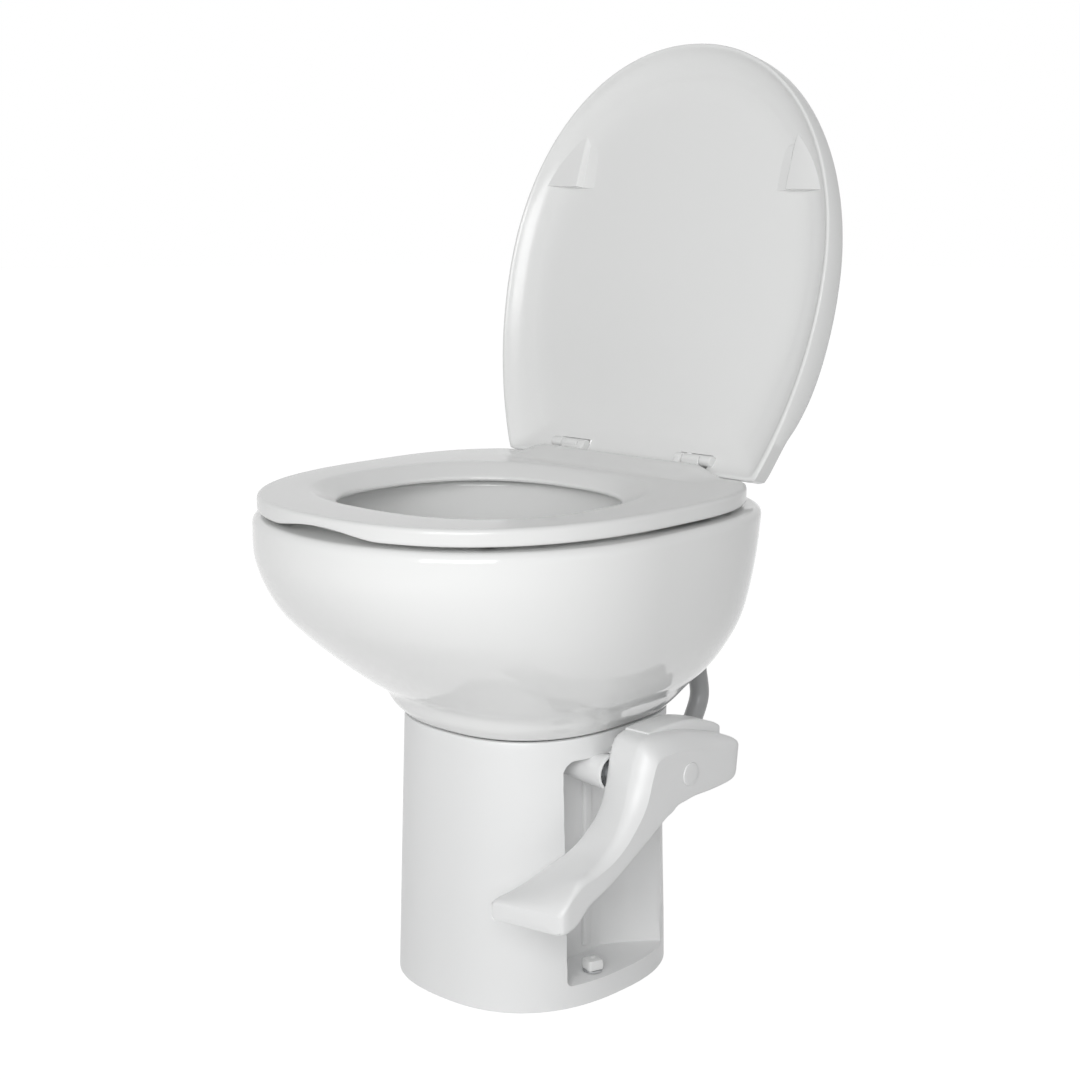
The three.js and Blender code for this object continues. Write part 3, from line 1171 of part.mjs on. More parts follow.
function assembleSeatAndLid() {
  piece('seat_ring', makeSeat(), 'gloss');
  const bumperLow = BOWL.rimZ + GAP;
  const bumperHigh = SEAT.top - SEAT.thickness - GAP;
  for (const [side, word] of [[-1, 'left'], [1, 'right']]) {
    for (const [place, x, y] of [
      ['front', BUMPER.frontX, BUMPER.frontY], ['rear', BUMPER.x, BUMPER.rearY]]) {
      piece(`seat_bumper_${place}_${word}`,
        bar('z', BUMPER.radius, bumperLow, bumperHigh, [side * x, y]), 'rubber');
    }
    piece(`hinge_post_${word}`, makePost(side), 'gloss');
    piece(`hinge_pin_${word}`, bar('x', HINGE.pinRadius, ...pinSpan(side, 0),
      [HINGE.y, HINGE.z]), 'steel');
    piece(`hinge_bolt_${word}`, bar('z', HINGE.boltRadius,
      BOWL.rimZ + HINGE.boltRise - HINGE.boltLength, BOWL.rimZ + HINGE.boltRise,
      [side * HINGE.centreX, hingeBoltY], FACETS.small), 'steel');
    piece(`hinge_anchor_${word}`, makeAnchor(side), 'rubber');
  }
  openLid(piece('lid_panel', makeLid(), 'gloss'));
}

assembleBase();
assembleFloorFixings();
assembleFlush();
assemblePedal();
assembleSeatAndLid();
assembleWater();

// Origin under the middle of the whole object's box
const part = new THREE.Group();
part.add(placed);
placed.updateMatrixWorld(true);
const extent = new THREE.Box3().setFromObject(placed, true);
placed.position.set(
  -(extent.min.x + extent.max.x) / 2, -(extent.min.y + extent.max.y) / 2, -extent.min.z);
part.updateMatrixWorld(true);

export default part;
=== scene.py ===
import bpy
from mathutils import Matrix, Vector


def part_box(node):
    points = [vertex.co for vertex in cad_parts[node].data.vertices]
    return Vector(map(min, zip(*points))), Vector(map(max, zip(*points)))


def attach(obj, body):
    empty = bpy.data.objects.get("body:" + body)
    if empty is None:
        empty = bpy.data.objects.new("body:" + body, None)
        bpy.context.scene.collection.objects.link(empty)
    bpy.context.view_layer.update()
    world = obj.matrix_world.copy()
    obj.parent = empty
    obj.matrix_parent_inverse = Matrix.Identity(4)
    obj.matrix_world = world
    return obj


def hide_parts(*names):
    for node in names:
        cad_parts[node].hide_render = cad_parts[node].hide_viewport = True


bl_info = {
    "name": "RV Toilet Dressing",
    "version": (1, 0, 0),
    "blender": (4, 5, 0),
    "location": "View3D > Sidebar > RV Toilet",
    "description": "Smooth surfaces, finishes and a studio for the packed toilet",
    "category": "Object",
}

import bpy
import numpy as np
from bpy.props import FloatProperty, FloatVectorProperty, PointerProperty
from mathutils import Vector

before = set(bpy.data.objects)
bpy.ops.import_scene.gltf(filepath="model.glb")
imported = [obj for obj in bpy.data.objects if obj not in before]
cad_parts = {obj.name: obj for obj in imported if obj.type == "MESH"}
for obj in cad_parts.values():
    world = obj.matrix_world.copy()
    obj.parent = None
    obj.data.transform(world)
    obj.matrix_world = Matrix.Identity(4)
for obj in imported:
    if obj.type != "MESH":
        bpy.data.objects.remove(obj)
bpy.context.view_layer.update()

# Drawing millimetres: Y 0 is near the hinge, front at -Y, floor at Z 0
PEDESTAL_FRONT_Y = -253.0
MM = 0.001
SHIFT_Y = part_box("pedestal")[0][1] / MM - PEDESTAL_FRONT_Y
TURN = 2 * np.pi
# Degrees between faces up to which an edge is shaded smooth, on made and on carved pieces
SMOOTH, CUT_SMOOTH = 40, 35

# Seat
SEAT = dict(top=457.0, thick=14.5, half=190.7, front=-382.0, widest=-157.0, rear=-9.3,
            rear_half=147.6, front_power=2.4, rear_power=3.32, centre=-205.0)
SEAT_HOLE = dict(half=145.0, front=-333.0, rear=-57.0, centre=-205.0, power=2.4)
SEAT_BEVEL = 24.0
SEAT_NOTCH = dict(half=60.0, rise=6.0, run=24.0, tall=7.5)
SEAT_RIDGE = dict(half=125.0, height=10.0, run=44.0, set_back=1.0, fade=32.0)
RIDGE_RUN_SHARES = [0, 0.12, 0.4, 0.6, 0.76, 0.88, 1]
RIDGE_RISE_SHARES = [0, 0.03, 0.4, 0.68, 0.9, 0.98, 0.98]
# Inset and height over the underside: outer lower edge, then the rib under the ring
SEAT_LOW_EDGE = [(2.2, 0.0), (0.8, 0.5), (0.2, 1.6), (0.0, 3.0)]
SEAT_RIB_INSIDE = [(1.0, 0.0), (7.0, 0.0), (8.0, 4.5)]
SEAT_RIB_OUTSIDE = [(10.0, 4.5), (9.0, 0.0)]
SEAT_CROWN = 0.35
BEVEL_DROP = 11.0
BEVEL_STEPS = [(0.0, 0.0), (0.1, 0.035), (0.22, 0.12), (0.4, 0.3), (0.6, 0.52), (0.8, 0.76),
               (0.92, 0.9), (0.98, 0.985), (1.0, 1.1), (1.0, 1.22)]
BUMPERS = [("front", 124.0, -312.0), ("rear", 169.0, -96.0)]
BUMPER_RADIUS, BUMPER_SUNK = 5.5, 4.6
# Arm from inside the seat's rear edge, before and below its corner, over the bend to the hinge
ARM_STOPS = [0, 0.5, 1]
ARM_ROOT = (10.0, 4.5)
ARM_BEND = (-4.0, 458.0)
ARM_HEIGHTS = [7.5, 8.5, 9.0]

# Lid as it lies closed, and how far it stands open
LID = dict(rim=460.9, half=191.5, front=-382.0, widest=-160.9, rear=19.7, rear_half=151.0,
           front_power=2.09, rear_power=2.07, centre=-180.0)
LID_OPEN = np.radians(103.7)
LID_RAMP = dict(inner=127.0, outer=166.0, rear=-247.0, front=-315.0, flute=17.0, wall=4.0,
                top=8.6, top_fall=6.6, foot=14.8, foot_fall=1.6, flute_depth=18.3, buried=19.0)
# Inset from the rim and height over it, from the dish out to the rim, and behind the skirt
LID_DISH = [(49.0, 17.9), (42.0, 17.7), (36.0, 17.1), (31.5, 16.3), (28.5, 15.5), (26.5, 14.7),
            (23.0, 13.7), (19.0, 12.2), (15.0, 10.3), (11.5, 8.2), (8.5, 6.0), (6.2, 3.9),
            (4.6, 2.0), (3.4, 0.7), (2.5, 0.1), (1.6, 0.0), (0.7, 0.4), (0.0, 1.6)]
LID_DISH_DEPTH = 18.0
LID_BACK = [(12.0, 0.4), (36.0, 1.2), (56.0, 3.0), (84.0, 4.2), (112.0, 4.9)]
LID_CROWN = 5.0
# The skirt deepens towards the hinge in this look alone: the solid keeps one depth
LID_SKIRT = dict(front=20.0, rise=9.5)
LID_LENGTH_SHARES = [0, 0.18, 0.35, 0.53, 0.68, 0.79, 0.86, 0.905, 1]
LID_RISE_SHARES = [0, 0.04, 0.35, 0.78, 1, 1, 0.6, 0.08, 0.08]

# Hinge
HINGE = (6.0, 467.0)
BARREL = 5.0
HINGE_X = 75.0
POST_HALF = 10.0
LUG = 8.0
LID_LUG_ROOT, LID_LUG_TOP = 4.0, 17.5
RUN_GAP = 0.6
FIT = 0.3
PIN_COVER = 0.6
POST = dict(foot_front=-3.0, foot_rear=11.0, foot_top=459.0, neck_low=455.0)
# Room in the lid for post and arm, shorter here than in the solid
ROOM = dict(below=20.0, rear=40.0, post_top=16.0, arm_top=50.0)

# Bowl
BOWL = dict(rim=438.5, foot=248.0, rim_round=8.0, wall=9.0, mouth_half=152.0, mouth_front=-348.0,
            mouth_rear=-60.0, mouth_centre=-204.0, mouth_power=2.15, floor=268.0)
BOWL_FOOT = np.array([106.1, -243.9, -18.5, -128.6])
BOWL_RIM = np.array([201.8, -390.0, 39.0, -182.6])
BOWL_POWERS = (2.44, 2.1, 3.19)
BOWL_HEIGHT_SHARES = [0, 0.05, 0.12, 0.2, 0.3, 0.45, 0.6, 0.8, 1]
BOWL_FRONT_SHARES = [0, 0.06, 0.11, 0.255, 0.43, 0.67, 0.865, 0.995, 1]
BOWL_REAR_SHARES = [0, 0.145, 0.34, 0.54, 0.7, 0.845, 0.885, 0.935, 1]
BASIN_HEIGHT_SHARES = [0, 0.06, 0.15, 0.3, 0.5, 0.7, 0.88, 1]
BASIN_SPREAD_SHARES = [0, 0.22, 0.41, 0.62, 0.81, 0.94, 1, 1]
MOUTH_ROUND = 5.0
BOWL_POINTS = 176

# Ball valve
VALVE_Y, SHAFT_Z = -158.0, 215.0
THROAT, FLANGE, FLANGE_Z = 36.0, 58.0, 252.0
BALL = 46.0
BALL_WALL = 4.0
BALL_EAR = dict(radius=12.0, near=37.4, far=42.6)
SEAL = dict(outer=57.0, low=244.4, touch=245.0, top=251.6, edge=1.0, lip=3.4, bore=4.2)
GASKET_INSET = (5.0, 8.5)

# Pedestal
PED_TOP, PED_DECK, PED_WALL = 246.0, 237.0, 5.0
PED_BASE = np.array([112.0, -253.0, -7.0, -129.0])
PED_POWERS = (2.41, 2.44, 2.41, 3.19)
PED_HEIGHT_SHARES = [0, 0.12, 0.6, 1]
PED_REAR_SHARES = [0, 0.25, 1.22, 1]
POCKET = dict(floor=22.0, roof=225.0, front=-191.0, corner=11.0, floor_corner=4.0)
PED_FOOT = dict(height=5.0, inset=12.0)
PED_BORE, PED_BORE_DEPTH = 53.6, 8.0
COLLAR = dict(radius=12.0, start=62.0, end=107.4, rib_half=4.0, rib_end=100.0)
RIB = dict(near=62.0, far=68.0, low=(-133.0, 30.0), high=(-122.0, 196.0))
POCKET_SOFT = 2.6
POCKET_Y = [-400.0, -108.5, -87.0, -60.3, 40.0]
POCKET_X = [64.6, 64.6, 77.5, 99.3, 200.0]

# Pedal
PIVOT = (-114.0, 215.0)
PEDAL = dict(inner=122.0, outer=174.0, tread=103.5, rear=-41.0, length=259.0, low=115.0,
             height=146.0)
# Y and Z of the inner top, outer top and low corners, inward turn, width lost, rounding
PEDAL_SHARES = [
    [0.0, 0.75, 0.0, 0.745, 0.01, 0.6, 0.0, 0.1, 0.2],
    [0.015, 0.79, 0.015, 0.79, 0.03, 0.56, 0.0, 0.02, 0.3],
    [0.06, 0.83, 0.06, 0.83, 0.07, 0.54, 0.0, 0.0, 0.6],
    [0.18, 0.885, 0.18, 0.895, 0.16, 0.53, 0.0, 0.0, 0.9],
    [0.29, 0.925, 0.29, 0.935, 0.25, 0.53, 0.0, 0.0, 1.0],
    [0.38, 0.94, 0.4, 0.95, 0.3, 0.52, 0.0, 0.0, 1.0],
    [0.44, 0.915, 0.48, 0.925, 0.34, 0.51, 0.0, 0.0, 1.0],
    [0.465, 0.84, 0.515, 0.82, 0.37, 0.48, 0.0, 0.0, 1.0],
    [0.48, 0.73, 0.54, 0.71, 0.4, 0.46, 0.0, 0.0, 0.9],
    [0.495, 0.61, 0.57, 0.6, 0.44, 0.42, 0.0, 0.0, 0.8],
    [0.52, 0.5, 0.61, 0.5, 0.49, 0.37, 0.02, 0.0, 0.7],
    [0.57, 0.4, 0.65, 0.42, 0.55, 0.31, 0.08, 0.0, 0.6],
    [0.64, 0.3, 0.7, 0.36, 0.62, 0.24, 0.25, 0.0, 0.5],
    [0.72, 0.22, 0.76, 0.32, 0.7, 0.17, 0.62, 0.0, 0.4],
    [0.8, 0.155, 0.82, 0.29, 0.78, 0.115, 0.92, 0.0, 0.3],
    [0.88, 0.13, 0.855, 0.24, 0.84, 0.03, 1.0, 0.0, 0.25],
    [0.93, 0.125, 0.885, 0.19, 0.88, 0.005, 1.0, 0.0, 0.2],
    [0.955, 0.12, 0.905, 0.15, 0.905, 0.0, 0.99, 0.02, 0.15],
    [0.968, 0.11, 0.915, 0.125, 0.915, 0.0, 0.96, 0.06, 0.1],
]
PEDAL_ROUND = 5.0
PEDAL_CORNER = 4.0
# The ridge's reach inward and its growth, and an edge's length over its largest corner radius
RIDGE_REACH, RIDGE_GROWTH, CORNER_LIMIT = 1.35, 1.15, 2.3
SOCKET = dict(radius=10.45, depth=2.2)
PIVOT_CAP = dict(radius=10.3, start=160.0, rise=1.1)
COVER_X = (124.0, 152.0)
COVER_SIDE = 8.0
COVER_ROUND = 3.0
COVER_RISE = 9.5
COVER_SHARES = [1, 0.95, 0.84, 0.42, 0.04]
# Where the arm's rounded top meets its side at an angle: station against strength
CREASE_STATIONS = [0.1, 0.2, 0.72, 0.86]
CREASE_SHARES = [0, 0.45, 0.45, 0]

# Cartridge and water line
CARTRIDGE = dict(start=64.9, end=121.2, root=8.5, tip=16.0, drop=2.5, shift=-1.5, cup=107.2,
                 bore=13.4, taper=0.9, sector_room=36.0, room_end=140.0)
WATER = dict(valve_x=58.0, port_y=28.0, valve_top=184.0, valve_height=34.0, bend_y=50.0,
             nozzle=(50.0, 34.0, 304.0), hose=9.3, bore=5.8)
HOSE_SHARES = [
    [0, 0, 0], [0, 0, 0.05], [0, 0, 0.1], [0.04, 0.16, 0.165], [0.08, 0.42, 0.24],
    [0.12, 0.66, 0.315], [0.16, 0.79, 0.39], [0.22, 0.78, 0.47], [0.4, 0.7, 0.6],
    [0.65, 0.76, 0.74], [0.9, 0.92, 0.86], [1, 0.86, 0.955], [1, 0.55, 1],
]
HOSE_END_Y = 29.0
BAND = dict(gap=0.1, thick=1.8, width=7.0, edge=0.5)
BAND_SCREW = dict(half=4.0, start=9.4, end=14.4, inset=0.6)
VALVE = dict(plate=4.0, plate_over=6.0, bonnet=10.0, spout=5.5, bore=4.0, rib=3.0,
             ribs=(-14.0, -6.0, 2.0))
FLOOR_BOLT = (95.0, -152.0)
CAP_TURN = np.radians(-17.0)
CAP_POWER = 7
CAP_HOLE = dict(radius=2.5, depth=1.6)
CAP_HALF = 7.75
CAP_HEIGHT_SHARES = [0, 0.1, 0.3, 0.55, 0.8, 0.92, 1.0]
CAP_INSETS = [0.3, 0, 0, 0.05, 0.2, 0.7, 3.6]

# Finishes and stage. Softboxes in metres: towards the camera, right, up, width, height
COAT_ROUGHNESS = 0.03
CAMERA = dict(eye=[1155.0, -1352.6, 737.1], aim=[2.86, -122.73, 400.07], sensor=36.0, lens=63.24)
LIGHTS_MIDDLE = 0.42
SOFTBOXES = {"key": (2.4, -0.5, 0.3, 1.6, 1.2), "high": (2.0, -0.4, 1.5, 1.6, 1.4),
             "side": (1.9, 1.6, -0.2, 1.4, 1.2)}
FLOOR = dict(radius=12000.0, glow=1.25, glow_share=0.75)
SIDES = ((-1, "left"), (1, "right"))


# Numbers into shapes
def smooth_table(stops, values, at):
    """Cubic curve through a table whose slope at a stop is that across its two neighbours."""
    s = np.asarray(stops, float)
    v = np.asarray(values, float)
    v = v.reshape(len(s), -1)
    at = np.asarray(at, float)
    order = np.arange(len(s))
    low, high = np.maximum(order - 1, 0), np.minimum(order + 1, len(s) - 1)
    slope = (v[high] - v[low]) / (s[high] - s[low])[:, None]
    i = np.clip(np.searchsorted(s, at, side="right") - 1, 0, len(s) - 2)
    width = (s[i + 1] - s[i])[:, None]
    t = (at - s[i])[:, None] / width
    rise = v[i + 1] - v[i]
    a = slope[i] * width - rise
    b = rise - slope[i + 1] * width
    out = v[i] + rise * t + t * (1 - t) * (a * (1 - t) + b * t)
    return out[:, 0] if out.shape[1] == 1 else out


def ovals(rows, angles):
    """Rings whose radius share is (|sin a|^p + |cos a|^p)^(-1/p), with p and the reach different
    before and behind the centre. Columns: half width, front, rear, centre, two powers, height."""
    half, front, rear, centre, pf, pr, z = (c[:, None] for c in np.asarray(rows, float).T)
    a = np.asarray(angles)[None, :]
    across, along = np.sin(a), -np.cos(a)
    power = np.where(along < 0, pf, pr)
    share = (np.abs(across) ** power + np.abs(along) ** power) ** (-1 / power)
    reach = np.where(along < 0, centre - front, rear - centre)
    x = half * across * share
    y = centre + reach * along * share
    return np.stack(np.broadcast_arrays(x, y, z), axis=-1)


def even_angles(count):
    """Equal steps round a turn, starting at the front."""
    return np.linspace(0, TURN, count, endpoint=False)


def grid_faces(rows, count, wrap_rows=False):
    """Quads of a grid that is closed round each row, and also along the rows where asked."""
    last = rows if wrap_rows else rows - 1
    r, c = np.meshgrid(np.arange(last), np.arange(count), indexing="ij")
    a = r * count + c
    b = r * count + (c + 1) % count
    d = ((r + 1) % rows) * count + c
    e = ((r + 1) % rows) * count + (c + 1) % count
    return np.stack([a, b, e, d], axis=-1).reshape(-1, 4)


def enclosed_volume(points, faces):
    """Sum of corner products over the two triangles of each quad: positive when faces point out."""
    p = points - points.mean(axis=0)
    a, b, c, d = (p[faces[:, k]] for k in range(4))
    first, second = np.cross(b, c), np.cross(c, d)
    return (np.einsum("ij,ij->i", a, first) + np.einsum("ij,ij->i", a, second)).sum()


def to_frame(points):
    """Drawing millimetres to the frame's metres."""
    return (np.asarray(points, float) + [0, SHIFT_Y, 0]) * MM


def drawing_box(node):
    """A CAD node's box in drawing millimetres."""
    return (np.array(v) / MM - [0, SHIFT_Y, 0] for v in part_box(node))


def mesh_piece(name, shells, smooth=SMOOTH):
    """One mesh of one or more closed shells, each (points grid, wraps along rows or not). Open
    ends of a shell are closed by a fan to the ring's middle."""
    verts, quads, tris, start = [], [], [], 0
    for grid, wraps in shells:
        grid = np.asarray(grid, float)
        rows, count = grid.shape[:2]
        faces = grid_faces(rows, count, wraps)
        points = grid.reshape(-1, 3)
        fans = []
        if not wraps:
            ring = np.arange(count)
            centres = len(points) + np.arange(2)
            points = np.vstack([points, grid[0].mean(axis=0), grid[-1].mean(axis=0)])
            top = (rows - 1) * count
            fans = [np.stack([np.roll(ring, -1), ring, np.full(count, centres[0])], 1),
                    np.stack([top + ring, top + np.roll(ring, -1), np.full(count, centres[1])], 1)]
        if enclosed_volume(points, faces) < 0:
            faces = faces[:, ::-1]
            fans = [f[:, ::-1] for f in fans]
        verts.append(points)
        quads.append(faces + start)
        tris += [f + start for f in fans]
        start += len(points)
    faces = [f for block in quads + tris for f in block.tolist()]
    mesh = bpy.data.meshes.new(name)
    mesh.from_pydata(to_frame(np.vstack(verts)).tolist(), [], faces)
    mesh.validate()
    mesh.shade_smooth()
    mesh.set_sharp_from_angle(angle=np.radians(smooth))
    obj = bpy.data.objects.new(name, mesh)
    bpy.context.scene.collection.objects.link(obj)
    return obj


def carve(obj, grid):
    """Takes the solid inside a closed grid out of a piece."""
    cutter = mesh_piece("cutter", [(grid, False)])
    cut = obj.modifiers.new("cut", "BOOLEAN")
    cut.operation = "DIFFERENCE"
    cut.solver = "EXACT"
    cut.object = cutter
    depsgraph = bpy.context.evaluated_depsgraph_get()
    made = bpy.data.meshes.new_from_object(obj.evaluated_get(depsgraph))
    obj.modifiers.clear()
    obj.data = made
    made.name = obj.name
    bpy.data.objects.remove(cutter)
    made.shade_smooth()
    made.set_sharp_from_angle(angle=np.radians(CUT_SMOOTH))


def turned(profile, centre, axis="z", count=64):
    """Surface of revolution: pairs of radius and height, carried round an axis."""
    profile = np.asarray(profile, float)
    a = even_angles(count)
    r, h = profile[:, :1], profile[:, 1:] + 0 * a
    parts = [centre[0] + r * np.cos(a), centre[1] + r * np.sin(a)]
    parts.insert("xyz".index(axis), h)
    return np.stack(parts, -1)


def quarter(steps):
    """Angles of a quarter turn."""
    return np.radians(np.linspace(0, 90, steps))


def span(side, near, far):
    """Low and high X between two distances from the middle, on one side."""
    return sorted((side * near, side * far))


def arc(centre, radius, start, end, steps):
    """Points of an arc in a profile, angles in degrees."""
    a = np.radians(np.linspace(start, end, steps))
    return np.stack([centre[0] + radius * np.cos(a), centre[1] + radius * np.sin(a)], -1)


def rounded_disc(radius, low, high, edge, steps=6):
    """Profile of a solid disc or pin with rounded rims."""
    return np.vstack([[[0.01, low]], arc((radius - edge, low + edge), edge, -90, 0, steps),
                      arc((radius - edge, high - edge), edge, 0, 90, steps), [[0.01, high]]])


def rounded_ring(inner, outer, low, high, edge, steps=4):
    """Closed profile of a ring with rounded corners."""
    return np.vstack([arc((outer - edge, low + edge), edge, -90, 0, steps),
                      arc((outer - edge, high - edge), edge, 0, 90, steps),
                      arc((inner + edge, high - edge), edge, 90, 180, steps),
                      arc((inner + edge, low + edge), edge, 180, 270, steps)])


def soft_box(low, high, edge, around=32, levels=6):
    """Box with rounded edges: rounded-rectangle rings, drawn in at both ends along an arc."""
    low, high = np.asarray(low, float), np.asarray(high, float)
    middle, half = (low + high) / 2, (high - low) / 2
    turn = np.radians(np.linspace(-90, 90, 2 * levels))
    z = np.where(turn < 0, -1, 1) * (half[2] - edge) + edge * np.sin(turn)
    draw = edge * np.cos(turn)
    a = even_angles(around) + TURN / (2 * around)
    spread = np.stack([np.cos(a), np.sin(a)], -1)
    xy = np.sign(spread)[None] * (half[:2] - edge) + draw[:, None, None] * spread[None]
    xyz = np.concatenate([xy, np.broadcast_to(z[:, None, None], xy.shape[:2] + (1,))], -1)
    return xyz + middle


def tube(path, radius, count=24, inner=None):
    """A round section carried along a path on frames turned as little as possible, as a closed
    skin; with an inner radius the skin goes back through the bore."""
    path = np.asarray(path, float)
    tangent = np.gradient(path, axis=0)
    tangent /= np.linalg.norm(tangent, axis=1)[:, None]
    side = np.cross(tangent, [1.0, 0.0, 0.0])
    side /= np.linalg.norm(side, axis=1)[:, None]
    lift = np.cross(tangent, side)
    a = even_angles(count)

    def skin(r):
        r = np.broadcast_to(r, len(path))[:, None, None]
        return path[:, None] + r * (np.cos(a)[None, :, None] * side[:, None]
                                    + np.sin(a)[None, :, None] * lift[:, None])

    if inner is None:
        return skin(radius)
    return np.concatenate([skin(radius), skin(inner)[::-1]])


def swung_open(points):
    """Turns closed-lid points up about the hinge to the stored angle."""
    points = np.asarray(points, float)
    c, s = np.cos(-LID_OPEN), np.sin(-LID_OPEN)
    y, z = points[..., 1] - HINGE[0], points[..., 2] - HINGE[1]
    return np.stack([points[..., 0], HINGE[0] + y * c - z * s, HINGE[1] + y * s + z * c], -1)


# Outlines of seat and lid
def egg_radius(shape, inset, angles, corner=7):
    """Distance from the outline's centre at each angle: superellipse front, sides that close in
    by a power, a straight rear edge, and corners eased by a running mean along the outline."""
    front, rear = shape["front"] + inset, shape["rear"] - inset
    half, rear_half = shape["half"] - inset, shape["rear_half"] - inset
    t = np.linspace(0, np.pi / 2, 400)
    power = 2 / shape["front_power"]
    x0 = half * np.sin(t) ** power
    y0 = shape["widest"] - (shape["widest"] - front) * np.abs(np.cos(t)) ** power
    s = np.linspace(0, 1, 300)[1:]
    x1 = half - (half - rear_half) * s ** shape["rear_power"]
    y1 = shape["widest"] + (rear - shape["widest"]) * s
    x2 = np.linspace(rear_half, 0, 200)[1:]
    right = np.column_stack([np.r_[x0, x1, x2], np.r_[y0, y1, np.full(len(x2), rear)]])
    outline = np.vstack([right, (right * [-1, 1])[::-1][1:-1]])
    closed = np.vstack([outline, outline[:1]])
    run = np.r_[0, np.cumsum(np.linalg.norm(np.diff(closed, axis=0), axis=1))]
    even = np.linspace(0, run[-1], 2400, endpoint=False)
    outline = np.column_stack([np.interp(even, run, closed[:, k]) for k in (0, 1)])
    window = range(-corner, corner + 1)
    outline = sum(np.roll(outline, k, axis=0) for k in window) / len(window)
    return radius_at(angles, outline, shape["centre"])


def radius_at(angles, outline, centre):
    """Distance of an outline's points from its centre, read off at each angle."""
    angle = np.arctan2(outline[:, 0], centre - outline[:, 1]) % TURN
    order = np.argsort(angle)
    radius = np.hypot(outline[:, 0], outline[:, 1] - centre)
    return np.interp(angles, angle[order], radius[order], period=TURN)


def polar_rows(rows, centre, angles):
    """Rings from pairs of radius and height round one centre."""
    radii = np.array([r for r, _ in rows])
    x, y = radii * np.sin(angles), centre - radii * np.cos(angles)
    heights = np.array([z for _, z in rows])[:, None]
    return np.stack([x, y, np.broadcast_to(heights, radii.shape)], -1)


def hole_radius(angles, inset):
    """Distance of the seat's hole from its centre, as a two-part superellipse."""
    s = SEAT_HOLE
    row = [[s["half"] - inset, s["front"] + inset, s["rear"] - inset, s["centre"],
            s["power"], s["power"], 0]]
    return radius_at(angles, ovals(row, even_angles(2400))[0], s["centre"])


# Node groups and finishes
def fill(node, values):
    """Writes values to a node's input sockets."""
    for socket, value in values.items():
        node.inputs[socket].default_value = value


def add_node(tree, kind, values=None, **settings):
    """Adds a shader node with its settings and the values of its sockets."""
    node = tree.nodes.new(f"ShaderNode{kind}")
    for key, value in settings.items():
        setattr(node, key, value)
    fill(node, values or {})
    return node


def wire(tree, *links):
    """Links sockets, each link given as node, output, node, input."""
    for source, output, target, socket in links:
        tree.links.new(source.outputs[output], target.inputs[socket])


def new_group(name, inputs, outputs):
    """An empty shader group with named sockets."""
    group = bpy.data.node_groups.new(name, "ShaderNodeTree")
    for label, kind, value in inputs:
        socket = group.interface.new_socket(label, in_out="INPUT", socket_type=f"NodeSocket{kind}")
        if value is not None:
            socket.default_value = value
    for label, kind in outputs:
        group.interface.new_socket(label, in_out="OUTPUT", socket_type=f"NodeSocket{kind}")
    return group, group.nodes.new("NodeGroupInput"), group.nodes.new("NodeGroupOutput")


def mottle_group():
    """Slow cloudy change of colour and roughness over a surface."""
    group, start, end = new_group(
        "cloudy_tone",
        [("Vector", "Vector", None), ("Colour", "Color", (1, 1, 1, 1)),
         ("Shade", "Color", (1, 1, 1, 1)), ("Scale", "Float", 8.0), ("Amount", "Float", 0.5),
         ("Roughness", "Float", 0.3), ("Spread", "Float", 0.05)],
        [("Colour", "Color"), ("Roughness", "Float")])
    noise = add_node(group, "TexNoise", {"Detail": 3.0})
    strength = add_node(group, "Math", operation="MULTIPLY")
    mix = add_node(group, "Mix", data_type="RGBA")
    centred = add_node(group, "Math", {1: 0.5}, operation="SUBTRACT")
    spread = add_node(group, "Math", operation="MULTIPLY_ADD")
    wire(group, (start, "Vector", noise, "Vector"), (start, "Scale", noise, "Scale"),
         (noise, "Fac", strength, 0), (start, "Amount", strength, 1),
         (strength, 0, mix, "Factor"), (start, "Colour", mix, 6), (start, "Shade", mix, 7),
         (mix, 2, end, "Colour"), (noise, "Fac", centred, 0), (centred, 0, spread, 0),
         (start, "Spread", spread, 1), (start, "Roughness", spread, 2),
         (spread, 0, end, "Roughness"))


def grain_group():
    """Fine moulded grain over a slow waviness, as a height."""
    group, start, end = new_group(
        "moulded_grain",
        [("Vector", "Vector", None), ("Grain", "Float", 900.0), ("Wave", "Float", 12.0),
         ("Wave Share", "Float", 0.5)],
        [("Height", "Float")])
    fine, slow = add_node(group, "TexNoise"), add_node(group, "TexNoise")
    mix = add_node(group, "Mix")
    wire(group, (start, "Vector", fine, "Vector"), (start, "Grain", fine, "Scale"),
         (start, "Vector", slow, "Vector"), (start, "Wave", slow, "Scale"),
         (start, "Wave Share", mix, "Factor"), (fine, "Fac", mix, "A"), (slow, "Fac", mix, "B"),
         (mix, "Result", end, "Height"))


def seen_rays(tree):
    """1 for rays from the camera and for those that mirrors and glass pass on, 0 for the rest."""
    rays = add_node(tree, "LightPath")
    last, output = rays, "Is Camera Ray"
    for kind in ("Is Glossy Ray", "Is Transmission Ray"):
        larger = add_node(tree, "Math", operation="MAXIMUM")
        wire(tree, (last, output, larger, 0), (rays, kind, larger, 1))
        last, output = larger, 0
    return last


FINISHES = {}


